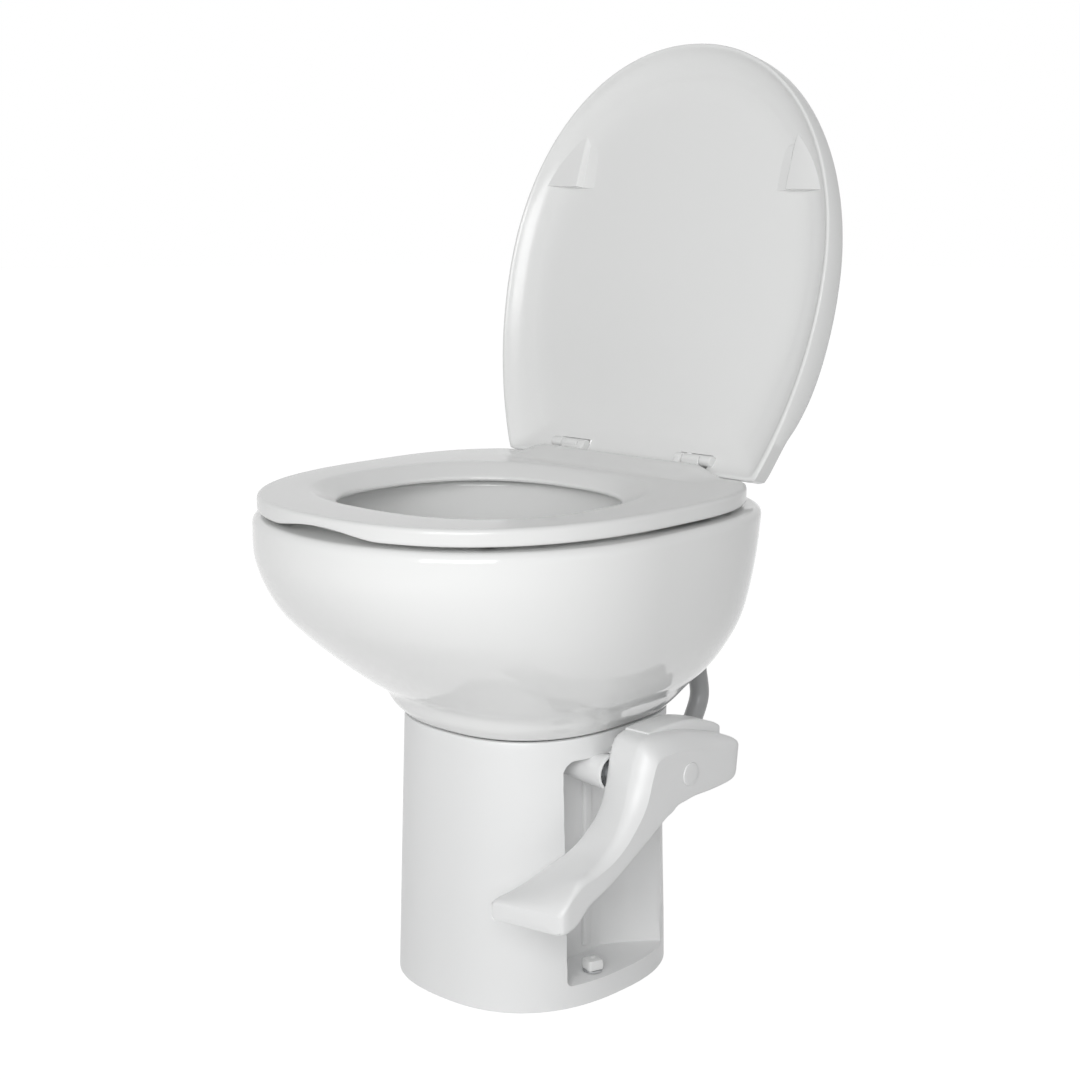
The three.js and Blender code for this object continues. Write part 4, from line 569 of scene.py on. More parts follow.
def finish(name, colour, darkened, roughness, spread=0.05, scale=8.0, amount=0.6, metallic=0.0,
           coat=0.0, grain=900.0, wave=12.0, wave_share=0.5, bump=0.02, depth=0.0002):
    """A Principled material with the cloudy tone between the colour and its darkened share, in
    colour and roughness, and the moulded grain in its bump."""
    material = bpy.data.materials.new(name)
    material.use_nodes = True
    tree = material.node_tree
    shader = tree.nodes["Principled BSDF"]
    groups = bpy.data.node_groups
    where = add_node(tree, "TexCoord")
    tone = add_node(tree, "Group", {
        "Colour": (*colour, 1), "Shade": (*(v * darkened for v in colour), 1), "Scale": scale,
        "Amount": amount, "Roughness": roughness, "Spread": spread},
        node_tree=groups["cloudy_tone"])
    height = add_node(tree, "Group", {"Grain": grain, "Wave": wave, "Wave Share": wave_share},
                      node_tree=groups["moulded_grain"])
    relief = add_node(tree, "Bump", {"Strength": bump, "Distance": depth})
    wire(tree, (where, "Object", tone, "Vector"), (tone, "Colour", shader, "Base Color"),
         (tone, "Roughness", shader, "Roughness"), (where, "Object", height, "Vector"),
         (height, "Height", relief, "Height"), (relief, "Normal", shader, "Normal"))
    fill(shader, {"Metallic": metallic, "Coat Weight": coat, "Coat Roughness": COAT_ROUGHNESS})
    FINISHES[name] = material


def coat(obj, material):
    """Gives an object one finish and no other."""
    obj.data.materials.clear()
    obj.data.materials.append(FINISHES[material])


def settle(obj, body, material, *nodes):
    """Rides a piece on its body, gives it its finish and that finish's slot, and hides what it
    replaces."""
    coat(obj, material)
    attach(obj, body)
    if nodes:
        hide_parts(*nodes)


def add(name, shells, body, material, *nodes, smooth=SMOOTH):
    """Makes a piece and settles it."""
    settle(mesh_piece(name, shells, smooth), body, material, *nodes)


def dress(material, *nodes):
    """Gives CAD nodes that stay their finish."""
    for node in nodes:
        coat(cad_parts[node], material)


def colour_value(name, description, default):
    """A colour in the panel."""
    return FloatVectorProperty(name=name, description=description, default=default,
                               subtype="COLOR", size=3, min=0, max=1)


class ToiletColours(bpy.types.PropertyGroup):
    glaze: colour_value("Glaze", "Glazed china of the bowl", (0.84, 0.845, 0.84))
    gloss: colour_value("Gloss plastic", "Seat and lid", (0.8, 0.805, 0.8))
    satin: colour_value("Satin plastic", "Pedestal and pedal", (0.8, 0.805, 0.805))
    grey: colour_value("Grey plastic", "Valve parts and shafts", (0.27, 0.28, 0.29))
    hose: colour_value("Hose", "Water hose", (0.4, 0.405, 0.41))
    rubber: colour_value("Rubber", "Seals and bumpers", (0.025, 0.025, 0.027))
    steel: colour_value("Steel", "Screws, pins and clamps", (0.58, 0.59, 0.6))


class ToiletLights(bpy.types.PropertyGroup):
    key: FloatProperty(name="Key", description="Softbox just left of the camera",
                       default=37.0, min=0, unit="POWER")
    high: FloatProperty(name="High", description="Softbox above the camera",
                        default=2.5, min=0, unit="POWER")
    side: FloatProperty(name="Side", description="Softbox right of the camera",
                        default=1.3, min=0, unit="POWER")
    room: FloatProperty(name="Room", description="Light from all around", default=0.33, min=0)


class ToiletSizes(bpy.types.PropertyGroup):
    ridge: FloatProperty(name="Pedal ridge", description="Radius of the pedal's outer top edge",
                         default=0.016, min=0.005, max=0.02, unit="LENGTH")
    seat_edge: FloatProperty(name="Seat edge", description="Radius of the seat's outer top edge",
                             default=0.004, min=0.001, max=0.007, unit="LENGTH")
    lid_edge: FloatProperty(name="Lid edge", description="Radius of the lid's outer edge",
                            default=0.004, min=0.002, max=0.008, unit="LENGTH")


class TOILET_OT_finishes(bpy.types.Operator):
    """Makes the node groups and the finishes"""

    bl_idname = "toilet.finishes"
    bl_label = "Finishes"

    def execute(self, context):
        c = context.scene.toilet_colours
        mottle_group()
        grain_group()
        finish("glazed_china", c.glaze, 0.965, 0.07, 0.03, scale=5.0, coat=0.1, grain=260.0,
               wave=9.0, wave_share=0.85, bump=0.12, depth=0.0006)
        finish("gloss_plastic", c.gloss, 0.97, 0.2, scale=6.0, grain=700.0, wave=14.0,
               wave_share=0.7, bump=0.08, depth=0.0004)
        finish("satin_plastic", c.satin, 0.955, 0.36, 0.08, scale=7.0, grain=1400.0, wave=16.0,
               wave_share=0.45, bump=0.12, depth=0.0003)
        finish("grey_plastic", c.grey, 0.85, 0.42, 0.1, scale=20.0, grain=1500.0, wave=30.0,
               bump=0.15, depth=0.0003)
        finish("hose_plastic", c.hose, 0.8, 0.3, 0.1, scale=30.0, wave=60.0, bump=0.1,
               depth=0.0003)
        finish("black_rubber", c.rubber, 0.6, 0.72, 0.12, scale=30.0, grain=1800.0, wave=80.0,
               bump=0.25, depth=0.0003)
        finish("brushed_steel", c.steel, 0.85, 0.28, 0.15, scale=60.0, metallic=1.0,
               grain=2500.0, wave=200.0, bump=0.1)
        return {"FINISHED"}


class TOILET_OT_stage(bpy.types.Operator):
    """Makes the camera, the softboxes, the pale floor and the room light"""

    bl_idname = "toilet.stage"
    bl_label = "Stage"

    def execute(self, context):
        scene = context.scene
        lights = scene.toilet_lights
        scene.view_settings.view_transform = "Standard"
        eye, aim = Vector(to_frame(CAMERA["eye"])), Vector(to_frame(CAMERA["aim"]))
        lens = bpy.data.cameras.new("camera")
        lens.sensor_width, lens.lens, lens.clip_end = CAMERA["sensor"], CAMERA["lens"], 60.0
        camera = bpy.data.objects.new("camera", lens)
        camera.location = eye
        camera.rotation_euler = (aim - eye).to_track_quat("-Z", "Y").to_euler()
        scene.collection.objects.link(camera)
        scene.camera = camera
        back = (eye - aim).normalized()
        right = Vector((-back.y, back.x, 0)).normalized()
        up = Vector((0, 0, 1))
        for name, (far, across, high, width, height) in SOFTBOXES.items():
            lamp = bpy.data.lights.new(f"{name}_light", "AREA")
            lamp.shape, lamp.size, lamp.size_y = "RECTANGLE", width, height
            lamp.energy = getattr(lights, name)
            offset = back * far + right * across + up * high
            obj = bpy.data.objects.new(f"{name}_light", lamp)
            obj.location = up * LIGHTS_MIDDLE + offset
            obj.rotation_euler = (-offset).to_track_quat("-Z", "Y").to_euler()
            scene.collection.objects.link(obj)
        self.make_room(scene, lights.room)
        self.make_floor(scene)
        return {"FINISHED"}

    def make_room(self, scene, strength):
        """White to the camera and to mirrors, an even room light to the rest."""
        world = bpy.data.worlds.new("room")
        scene.world = world
        world.use_nodes = True
        tree = world.node_tree
        tree.nodes.clear()
        out, mix = add_node(tree, "OutputWorld"), add_node(tree, "MixShader")
        room = add_node(tree, "Background", {"Color": (1, 1, 1, 1), "Strength": strength})
        white = add_node(tree, "Background", {"Color": (1, 1, 1, 1)})
        wire(tree, (seen_rays(tree), 0, mix, 0), (room, 0, mix, 1), (white, 0, mix, 2),
             (mix, 0, out, 0))

    def make_floor(self, scene):
        """A wide pale disc that shows almost white and keeps the shadow."""
        a = even_angles(96)
        ring = np.stack([FLOOR["radius"] * np.sin(a), FLOOR["radius"] * np.cos(a), 0 * a - 0.5], -1)
        mesh = bpy.data.meshes.new("floor")
        mesh.from_pydata(to_frame(ring).tolist(), [], [list(range(len(a)))])
        floor = bpy.data.objects.new("floor", mesh)
        scene.collection.objects.link(floor)
        material = bpy.data.materials.new("pale_floor")
        material.use_nodes = True
        tree = material.node_tree
        shader = tree.nodes["Principled BSDF"]
        fill(shader, {"Base Color": (0.8, 0.8, 0.8, 1), "Roughness": 0.9})
        glow = add_node(tree, "Emission", {"Strength": FLOOR["glow"]})
        share = add_node(tree, "Math", {1: FLOOR["glow_share"]}, operation="MULTIPLY")
        mix = add_node(tree, "MixShader")
        wire(tree, (seen_rays(tree), 0, share, 0), (share, 0, mix, 0), (shader, 0, mix, 1),
             (glow, 0, mix, 2), (mix, 0, tree.nodes["Material Output"], 0))
        mesh.materials.append(material)


# Bowl
def bowl_section(z, inset):
    """Outer skin's columns at a height: foot and rim sizes mixed by the share tables."""
    share = np.clip((z - BOWL["foot"]) / (BOWL["rim"] - BOWL["foot"]), 0, 1)
    front = smooth_table(BOWL_HEIGHT_SHARES, BOWL_FRONT_SHARES, share)
    rear = smooth_table(BOWL_HEIGHT_SHARES, BOWL_REAR_SHARES, share)
    side = (front + rear) / 2
    mixed = BOWL_FOOT[None] + (BOWL_RIM - BOWL_FOOT)[None] * np.stack([side, front, rear, side], -1)
    foot_power, rim_power, rear_power = BOWL_POWERS
    return np.column_stack([
        mixed[:, 0] - inset, mixed[:, 1] + inset, mixed[:, 2] - inset, mixed[:, 3],
        foot_power + (rim_power - foot_power) * side, np.full(len(z), rear_power), z])


def basin_section(z, grow):
    """Basin's columns at a height: throat circle and mouth oval mixed by the share table."""
    share = np.clip((z - BOWL["floor"]) / (BOWL["rim"] - BOWL["floor"]), 0, 1)
    spread = smooth_table(BASIN_HEIGHT_SHARES, BASIN_SPREAD_SHARES, share)
    low = np.array([THROAT, VALVE_Y - THROAT, VALVE_Y + THROAT, VALVE_Y, 2.0])
    high = np.array([BOWL["mouth_half"], BOWL["mouth_front"], BOWL["mouth_rear"],
                     BOWL["mouth_centre"], BOWL["mouth_power"]])
    m = low[None] + (high - low)[None] * spread[:, None]
    return np.column_stack([m[:, 0] + grow, m[:, 1] - grow, m[:, 2] + grow, m[:, 3], m[:, 4],
                            m[:, 4], z])


def circle_rows(radius, z):
    """Columns of circles round the valve's upright axis."""
    radius, z = np.asarray(radius, float), np.asarray(z, float)
    centre, two = np.full(radius.shape, VALVE_Y), np.full(radius.shape, 2.0)
    return np.column_stack([radius, centre - radius, centre + radius, centre, two, two, z])


def blend_rows(first, last, steps):
    """Rows that go evenly from one to another, ends left out."""
    t = np.linspace(0, 1, steps + 2)[1:-1, None]
    return first[None] * (1 - t) + last[None] * t


class TOILET_OT_bowl(bpy.types.Operator):
    """Makes the glazed bowl as one closed skin: outer wall, rim, basin, throat and inside"""

    bl_idname = "toilet.bowl"
    bl_label = "Bowl"

    def execute(self, context):
        rim, foot, r = BOWL["rim"], BOWL["foot"], BOWL["rim_round"]
        turn = quarter(9)
        edge = MOUTH_ROUND
        outer = bowl_section(foot + (rim - r - foot) * np.linspace(0, 1, 60) ** 1.15, 0)
        lip = bowl_section(rim - r * (1 - np.sin(turn[1:])), r * (1 - np.cos(turn[1:])))
        back = turn[::-1]
        brim = basin_section(rim - edge * (1 - np.sin(back)), edge * (1 - np.cos(back)))
        flat = blend_rows(lip[-1], brim[0], 5)
        depth = np.linspace(1, 0, 48)[1:] ** 1.2
        basin = basin_section(BOWL["floor"] + (rim - edge - BOWL["floor"]) * depth, 0)
        throat = circle_rows([THROAT, THROAT, THROAT + 1.0, FLANGE - 1.0, FLANGE, FLANGE,
                              FLANGE - 1.0, THROAT + 12.0, THROAT + 10.0],
                             [262, FLANGE_Z + 1, FLANGE_Z, FLANGE_Z, FLANGE_Z + 1, FLANGE_Z + 6,
                              FLANGE_Z + 7, FLANGE_Z + 7, FLANGE_Z + 9])
        shell_z = BOWL["floor"] + 10 + (rim - 29 - BOWL["floor"]) * np.linspace(0, 1, 16)
        shell = basin_section(shell_z, BOWL["wall"])
        hollow_z = foot + (rim - 20 - foot) * np.linspace(1, 0, 20) ** 1.1
        hollow = bowl_section(hollow_z, BOWL["wall"])
        rows = np.vstack([outer, lip, flat, brim, basin, throat, shell, hollow])
        add("bowl_china", [(ovals(rows, even_angles(BOWL_POINTS)), True)],
            "base", "glazed_china", "bowl", smooth=50)
        return {"FINISHED"}


# Seat
class TOILET_OT_seat(bpy.types.Operator):
    """Makes the seat ring, its hinge arms and its bumpers"""

    bl_idname = "toilet.seat"
    bl_label = "Seat"

    def execute(self, context):
        edge = context.scene.toilet_sizes.seat_edge / MM
        angles = even_angles(264)
        top, low = SEAT["top"], SEAT["top"] - SEAT["thick"]
        outer = [(inset, low + rise) for inset, rise in SEAT_LOW_EDGE]
        outer += [(edge * (1 - np.cos(t)), top - edge * (1 - np.sin(t))) for t in quarter(7)]
        rows = [(egg_radius(SEAT, inset, angles), z) for inset, z in outer]
        rim_radius, crest = rows[-1][0], hole_radius(angles, 0)
        rows += [(rim_radius * (1 - t) + crest * t, top + SEAT_CROWN * np.sin(np.pi * t))
                 for t in np.r_[np.linspace(0, 0.66, 24)[1:], 0.78, 0.9]]
        rows += [(hole_radius(angles, SEAT_BEVEL * run), top - BEVEL_DROP * drop)
                 for run, drop in BEVEL_STEPS]
        rows += [(hole_radius(angles, SEAT_BEVEL - inset), low + rise)
                 for inset, rise in SEAT_RIB_INSIDE]
        rows += [(egg_radius(SEAT, inset, angles), low + rise) for inset, rise in SEAT_RIB_OUTSIDE]
        ring = polar_rows(rows, SEAT["centre"], angles)
        self.cut_notch(ring, low)
        self.raise_ridge(ring, top - edge)
        add("seat_ring_shell", [(ring, True)], "seat", "gloss_plastic", "seat_ring", smooth=45)
        self.make_arms()
        profile = rounded_disc(BUMPER_RADIUS, BOWL["rim"] + FIT, low + BUMPER_SUNK, 1.2)
        for place, x, y in BUMPERS:
            for side, word in SIDES:
                foot = turned(profile, (side * x, y), count=40)
                add(f"bumper_{place}_{word}", [(foot, False)],
                    "seat", "black_rubber", f"seat_bumper_{place}_{word}")
        return {"FINISHED"}

    def cut_notch(self, ring, low):
        """Lifts the underside at the front into the finger notch: a bump of (1 - x^2)^1.5."""
        n = SEAT_NOTCH
        bump = np.clip(1 - (ring[..., 0] / n["half"]) ** 2, 0, 1) ** 1.5
        front = np.clip((SEAT_HOLE["front"] - ring[..., 1]) / n["run"], 0, 1)
        near = np.clip((low + n["tall"] - ring[..., 2]) / n["tall"], 0, 1)
        ring[..., 2] += n["rise"] * bump * front * near

    def raise_ridge(self, ring, above):
        """Lifts the rear edge by a gentle ramp from a share table, faded out at both ends, and
        sets the lifted points a little forward."""
        r = SEAT_RIDGE
        run = np.clip((ring[..., 1] - (SEAT["rear"] - r["run"])) / r["run"], 0, 1)
        ramp = smooth_table(RIDGE_RUN_SHARES, RIDGE_RISE_SHARES, run.ravel()).reshape(run.shape)
        ends = np.clip((r["half"] - np.abs(ring[..., 0])) / r["fade"], 0, 1)
        share = ramp * ends * ends * (3 - 2 * ends)
        share = share * np.clip((ring[..., 2] - above + 0.1) * 10, 0, 1)
        ring[..., 2] += r["height"] * share
        ring[..., 1] -= r["set_back"] * share

    def make_arms(self):
        """Each arm is a tapering rounded bar from the seat's rear edge up to its barrel."""
        near = HINGE_X - POST_HALF - RUN_GAP - LUG / 2
        stations = np.linspace(0, 1, 14)
        y = smooth_table(ARM_STOPS, [SEAT["rear"] - ARM_ROOT[0], ARM_BEND[0], HINGE[0]], stations)
        z = smooth_table(ARM_STOPS, [SEAT["top"] - ARM_ROOT[1], ARM_BEND[1], HINGE[1]], stations)
        y, z = y[:, None], z[:, None]
        tall = smooth_table(ARM_STOPS, ARM_HEIGHTS, stations)[:, None] / 2
        a = even_angles(28)
        u, v = (np.sign(w) * np.abs(w) ** 0.5 for w in (np.cos(a), np.sin(a)))
        run = np.gradient(np.hstack([y, z]), axis=0)
        run /= np.linalg.norm(run, axis=1)[:, None]
        shells = []
        for side, _ in SIDES:
            x = side * near + LUG / 2 * u[None, :] + 0 * y
            bar = np.stack([x, y - run[:, 1:2] * tall * v, z + run[:, 0:1] * tall * v], -1)
            shells += [(bar, False), hinge_barrel(side, near - LUG / 2 - PIN_COVER, near + LUG / 2)]
        add("seat_hinge_arms", shells, "seat", "gloss_plastic")


def hinge_barrel(side, near, far):
    """Shell of a barrel on the hinge axis, between two distances from the middle."""
    return turned(rounded_disc(BARREL, *span(side, near, far), 0.8), HINGE, "x", 48), False


# Lid
class TOILET_OT_lid(bpy.types.Operator):
    """Makes the dished lid with its ramps and its hinge lugs, swung open"""

    bl_idname = "toilet.lid"
    bl_label = "Lid"

    def execute(self, context):
        edge = context.scene.toilet_sizes.lid_edge / MM
        angles = even_angles(280)
        deep = LID_SKIRT["front"]
        outer = [(edge * (1 - np.cos(t)), deep - edge * (1 - np.sin(t))) for t in quarter(8)]
        outer += [(inset, deep + rise) for inset, rise in LID_BACK]
        middle = egg_radius(LID, LID_DISH[0][0], angles)
        rows = [(middle * t, LID_DISH_DEPTH) for t in (0.02, 0.3, 0.6, 0.85)]
        inside = len(rows) + len(LID_DISH)
        rows += [(egg_radius(LID, inset, angles), z) for inset, z in LID_DISH + outer]
        last = rows[-1][0]
        rows += [(last * t, deep + LID_CROWN) for t in (0.6, 0.02)]
        shell = polar_rows([(r, LID["rim"] + z) for r, z in rows], LID["centre"], angles)
        self.deepen(shell[inside:])
        lid = mesh_piece("lid_shell", [(swung_open(shell), False)])
        for side, _ in SIDES:
            for room in self.rooms(side):
                carve(lid, room)
        settle(lid, "lid", "gloss_plastic", "lid_panel")
        self.make_ramps()
        self.make_lugs()
        return {"FINISHED"}

    def deepen(self, back):
        """Moves the points behind the rim away from it by a share table along the lid."""
        along = np.clip((back[..., 1] - LID["front"]) / (LID["rear"] - LID["front"]), 0, 1)
        share = smooth_table(LID_LENGTH_SHARES, LID_RISE_SHARES, along.ravel()).reshape(along.shape)
        near = np.clip((back[..., 2] - LID["rim"]) / LID_SKIRT["front"], 0, 1)
        back[..., 2] += LID_SKIRT["rise"] * share * near

    def rooms(self, side):
        """Boxes to cut out for the post and for the seat's arm, swung with the lid."""
        post = HINGE_X - POST_HALF - RUN_GAP
        lug_end = HINGE_X + POST_HALF + RUN_GAP + LUG
        rooms = [(post, lug_end, ROOM["post_top"]), (post - LUG - 1, post + 1, ROOM["arm_top"])]
        for near, far, top in rooms:
            low, high = span(side, near, far)
            box = soft_box([low, HINGE[0] - BARREL - 1, LID["rim"] - ROOM["below"]],
                           [high, ROOM["rear"], LID["rim"] + top], 1.0, 32, 4)
            yield swung_open(box)

    def make_ramps(self):
        """Low ramps in the dish: a triangle in plan with a step at its rear, and inside it a steep
        wall that runs out into a shallow flute."""
        r = LID_RAMP
        shells = []
        t = np.linspace(0, 1, 20)[:, None]
        y = r["rear"] + (r["front"] - r["rear"]) * t
        deep = r["top"] + r["top_fall"] * t ** 1.4
        foot = r["foot"] + r["foot_fall"] * t
        start, top = r["inner"] - r["flute"], r["inner"]
        outer = r["outer"] + (top + 3 - r["outer"]) * t
        lines = [(start, r["buried"]), (start, r["flute_depth"]), (top - r["wall"], foot),
                 (top - 0.8, deep + 0.9), (top, deep + 0.2), (top + 0.8, deep), (outer, deep),
                 (outer, r["buried"])]
        x, z = (np.hstack([value + 0 * t for value in values]) for values in zip(*lines))
        for side, _ in SIDES:
            grid = np.stack([side * x, y + 0 * x, LID["rim"] + z], -1)
            shells.append((swung_open(grid), False))
        add("lid_ramps", shells, "lid", "gloss_plastic", smooth=30)

    def make_lugs(self):
        """Barrel and web of each lid lug."""
        start = HINGE_X + POST_HALF + RUN_GAP
        end = start + LUG + LID_LUG_ROOT
        shells = []
        for side, _ in SIDES:
            low, high = span(side, start, end)
            web = soft_box([low, HINGE[0] - BARREL + 0.4, HINGE[1]],
                           [high, HINGE[0] + BARREL - 0.4, LID["rim"] + LID_LUG_TOP], 1.2, 32, 4)
            shells += [hinge_barrel(side, start, end + PIN_COVER), (swung_open(web), False)]
        add("lid_hinge_lugs", shells, "lid", "gloss_plastic")


class TOILET_OT_hinges(bpy.types.Operator):
    """Makes the hinge posts and dresses the pins, bolts and anchors"""

    bl_idname = "toilet.hinges"
    bl_label = "Hinges"

    def execute(self, context):
        near, far = HINGE_X - POST_HALF, HINGE_X + POST_HALF
        for side, word in SIDES:
            low, high = span(side, near, far)
            foot = soft_box([low, POST["foot_front"], BOWL["rim"] + FIT],
                            [high, POST["foot_rear"], POST["foot_top"]], 1.8, 32, 5)
            neck = soft_box([low, HINGE[0] - BARREL, POST["neck_low"]],
                            [high, HINGE[0] + BARREL, HINGE[1]], 1.0, 32, 4)
            shells = [hinge_barrel(side, near, far), (foot, False), (neck, False)]
            add(f"post_{word}", shells, "base", "gloss_plastic", f"hinge_post_{word}")
            dress("brushed_steel", f"hinge_pin_{word}", f"hinge_bolt_{word}")
            dress("black_rubber", f"hinge_anchor_{word}")
        return {"FINISHED"}


# Pedestal
def pedestal_section(z, inset):
    """Pedestal's columns at a height, with a rear edge that follows its own share table."""
    share = np.clip(np.asarray(z, float) / PED_TOP, 0, 1)
    rear = smooth_table(PED_HEIGHT_SHARES, PED_REAR_SHARES, share)
    mix = np.stack([share, share, rear, share], -1)
    m = PED_BASE[None] + (BOWL_FOOT - PED_BASE)[None] * mix
    front_power = PED_POWERS[0] + (PED_POWERS[1] - PED_POWERS[0]) * share
    rear_power = PED_POWERS[2] + (PED_POWERS[3] - PED_POWERS[2]) * share
    return np.column_stack([m[:, 0] - inset, m[:, 1] + inset, m[:, 2] - inset, m[:, 3],
                            front_power, rear_power, z])


def press_pockets(points, grow):
    """Moves skin inward to the pocket's wall inside a window with rounded corners. The window's
    edge is a soft step in the distance to it, so the opening gets a small radius."""
    x, y, z = points[..., 0], points[..., 1], points[..., 2]
    p = POCKET
    low, high = p["floor"] - grow, p["roof"] + grow
    corner = np.where(z > (low + high) / 2, p["corner"], p["floor_corner"]) + grow
    a = (p["front"] - grow + corner) - y
    b = np.abs(z - (low + high) / 2) - ((high - low) / 2 - corner)
    outside = np.hypot(np.maximum(a, 0), np.maximum(b, 0))
    distance = outside + np.minimum(np.maximum(a, b), 0) - corner
    inside = np.clip(0.5 - distance / POCKET_SOFT, 0, 1)
    inside = inside * inside * (3 - 2 * inside)
    wall = np.interp(y, POCKET_Y, POCKET_X) - grow
    pressed = np.where(np.abs(x) > wall, np.abs(x) - (np.abs(x) - wall) * inside, np.abs(x))
    return np.stack([np.sign(x) * pressed, y, z], -1)


class TOILET_OT_pedestal(bpy.types.Operator):
    """Makes the pedestal as one closed skin with a pocket on each side, and its pivot collar"""

    bl_idname = "toilet.pedestal"
    bl_label = "Pedestal"

    def execute(self, context):
        p = POCKET
        near_front = np.arccos(np.linspace(0.42, 0.58, 36))
        angles = np.unique(np.concatenate([even_angles(200), near_front, TURN - near_front]))
        fine = np.linspace(-6, 6, 19)
        heights = np.unique(np.concatenate([
            np.linspace(0, PED_TOP - 1.5, 44), p["floor"] + fine, p["roof"] + fine,
            p["roof"] - np.linspace(6, 16, 9), [0.0, 0.6, 1.4]]))
        outer = pedestal_section(heights, 0)
        outer[0, :3] += [-0.8, 0.8, -0.8]

        def rows(*places):
            return np.vstack([pedestal_section(np.array([z]), inset) for z, inset in places])

        top = rows((PED_TOP - 0.4, 0.4), (PED_TOP, 1.4), (PED_TOP, PED_WALL - 1.0),
                   (PED_TOP - 1, PED_WALL))
        deck = np.vstack([rows((PED_DECK, PED_WALL)),
                          circle_rows([PED_BORE] * 2, [PED_DECK, PED_DECK - PED_BORE_DEPTH])])
        inner_z = np.unique(np.concatenate([
            np.linspace(PED_FOOT["height"], PED_DECK - PED_BORE_DEPTH, 30),
            p["floor"] - PED_WALL + fine[::3]]))[::-1]
        inner = pedestal_section(inner_z, PED_WALL)
        skin = np.concatenate([
            press_pockets(ovals(np.vstack([outer, top]), angles), 0), ovals(deck, angles),
            press_pockets(ovals(inner, angles), PED_WALL),
            ovals(rows((PED_FOOT["height"], PED_FOOT["inset"]), (0.0, PED_FOOT["inset"])), angles)])
        add("pedestal_shell", [(skin, True)], "base", "satin_plastic", "pedestal", smooth=38)
        c = COLLAR
        collar = turned(rounded_disc(c["radius"], c["start"], c["end"], 1.0), PIVOT, "x", 56)
        rib = soft_box([c["start"], PIVOT[0] - c["rib_half"], PIVOT[1]],
                       [c["rib_end"], PIVOT[0] + c["rib_half"], p["roof"] + 3], 1.0, 32, 4)
        add("pivot_collar", [(collar, False), (rib, False)], "base", "satin_plastic")
        self.make_ribs()
        return {"FINISHED"}

    def make_ribs(self):
        """Upright rounded ribs on the pockets' back walls."""
        shells = []
        for side, _ in SIDES:
            low, high = span(side, RIB["near"], RIB["far"])
            rib = soft_box([low, *RIB["low"]], [high, *RIB["high"]], 2.6, 32, 6)
            shells.append((rib, False))
        add("pocket_ribs", shells, "base", "satin_plastic")


# Pedal
def pedal_rings(stations, ridge):
    """Rounded four-cornered sections along the pedal. Each corner is a quadratic curve between
    points a radius away on its two edges; the top outer one has the wide ridge radius, and its
    control point is drawn back where the crease is, so it meets the side at an angle."""
    rows = smooth_table(np.linspace(0, 1, len(PEDAL_SHARES)), PEDAL_SHARES, stations)
    iy, iz, oy, oz, ly, lz, inward, loss, round_share = rows.T
    p = PEDAL
    in_x = p["inner"] + (p["tread"] - p["inner"]) * np.clip(inward, 0, 1)
    out_x = p["outer"] - (p["outer"] - p["inner"]) * np.clip(loss, 0, 1)

    def yz(y, z):
        return p["rear"] - p["length"] * y, p["low"] + p["height"] * z

    corners = [np.stack([x, *yz(y, z)], -1) for x, y, z in (
        (in_x, iy, iz), (out_x, oy, oz), (out_x, ly, lz), (in_x, ly + (iy - oy) * inward, lz))]
    plain = np.full(len(rows), PEDAL_CORNER)
    wide = np.maximum(ridge * np.clip(round_share * RIDGE_GROWTH, 0, 1), PEDAL_CORNER)
    radii = [np.full(len(rows), PEDAL_ROUND), wide, plain, plain]
    steps = [6, 14, 6, 6]
    crease = np.interp(stations, CREASE_STATIONS, CREASE_SHARES)[:, None]
    ring = []
    for k in range(4):
        here = corners[k]
        ends = []
        reach = RIDGE_REACH if k == 1 else 1
        for other, wider in ((corners[k - 1], reach), (corners[(k + 1) % 4], 1)):
            v = other - here
            length = np.linalg.norm(v, axis=1)[:, None]
            radius = np.minimum(radii[k][:, None] * wider, length / CORNER_LIMIT)
            ends.append(here + v / length * radius)
        t = np.linspace(0, 1, steps[k])[None, :, None]
        pull = here - (here - ends[0]) * crease if k == 1 else here
        ring.append((1 - t) ** 2 * ends[0][:, None] + 2 * t * (1 - t) * pull[:, None]
                    + t * t * ends[1][:, None])
        if k == 1:
            ring[1] = np.concatenate([ring[1], (ends[1] + v / length * 1.2)[:, None]], axis=1)
    full = []
    for k in range(4):
        full.append(ring[k])
        a, b = ring[k][:, -1:], ring[(k + 1) % 4][:, :1]
        t = np.array([0.25, 0.5, 0.75])[None, :, None]
        full.append(a * (1 - t) + b * t)
    return np.concatenate(full, axis=1)


def round_ends(rings, radius, steps=6):
    """Closes a run of rings with rounded ends: each end is repeated, drawn in along a quarter
    circle and moved out by the same radius."""
    body, caps = rings.copy(), []
    t = np.radians(np.linspace(0, 88, steps + 1))[1:]
    for end, other in ((0, 2), (-1, -3)):
        middle = rings[end].mean(axis=0)
        outward = middle - rings[other].mean(axis=0)
        outward /= np.linalg.norm(outward)
        size = np.linalg.norm(rings[end] - middle, axis=1).mean()
        caps.append([middle + (rings[end] - middle) * (1 - radius * (1 - np.cos(a)) / size)
                     + outward * radius * (np.sin(a) - 1) for a in t])
        body[end] = rings[end] - outward * radius
    return np.concatenate([np.array(caps[0][::-1]), body, np.array(caps[1])])


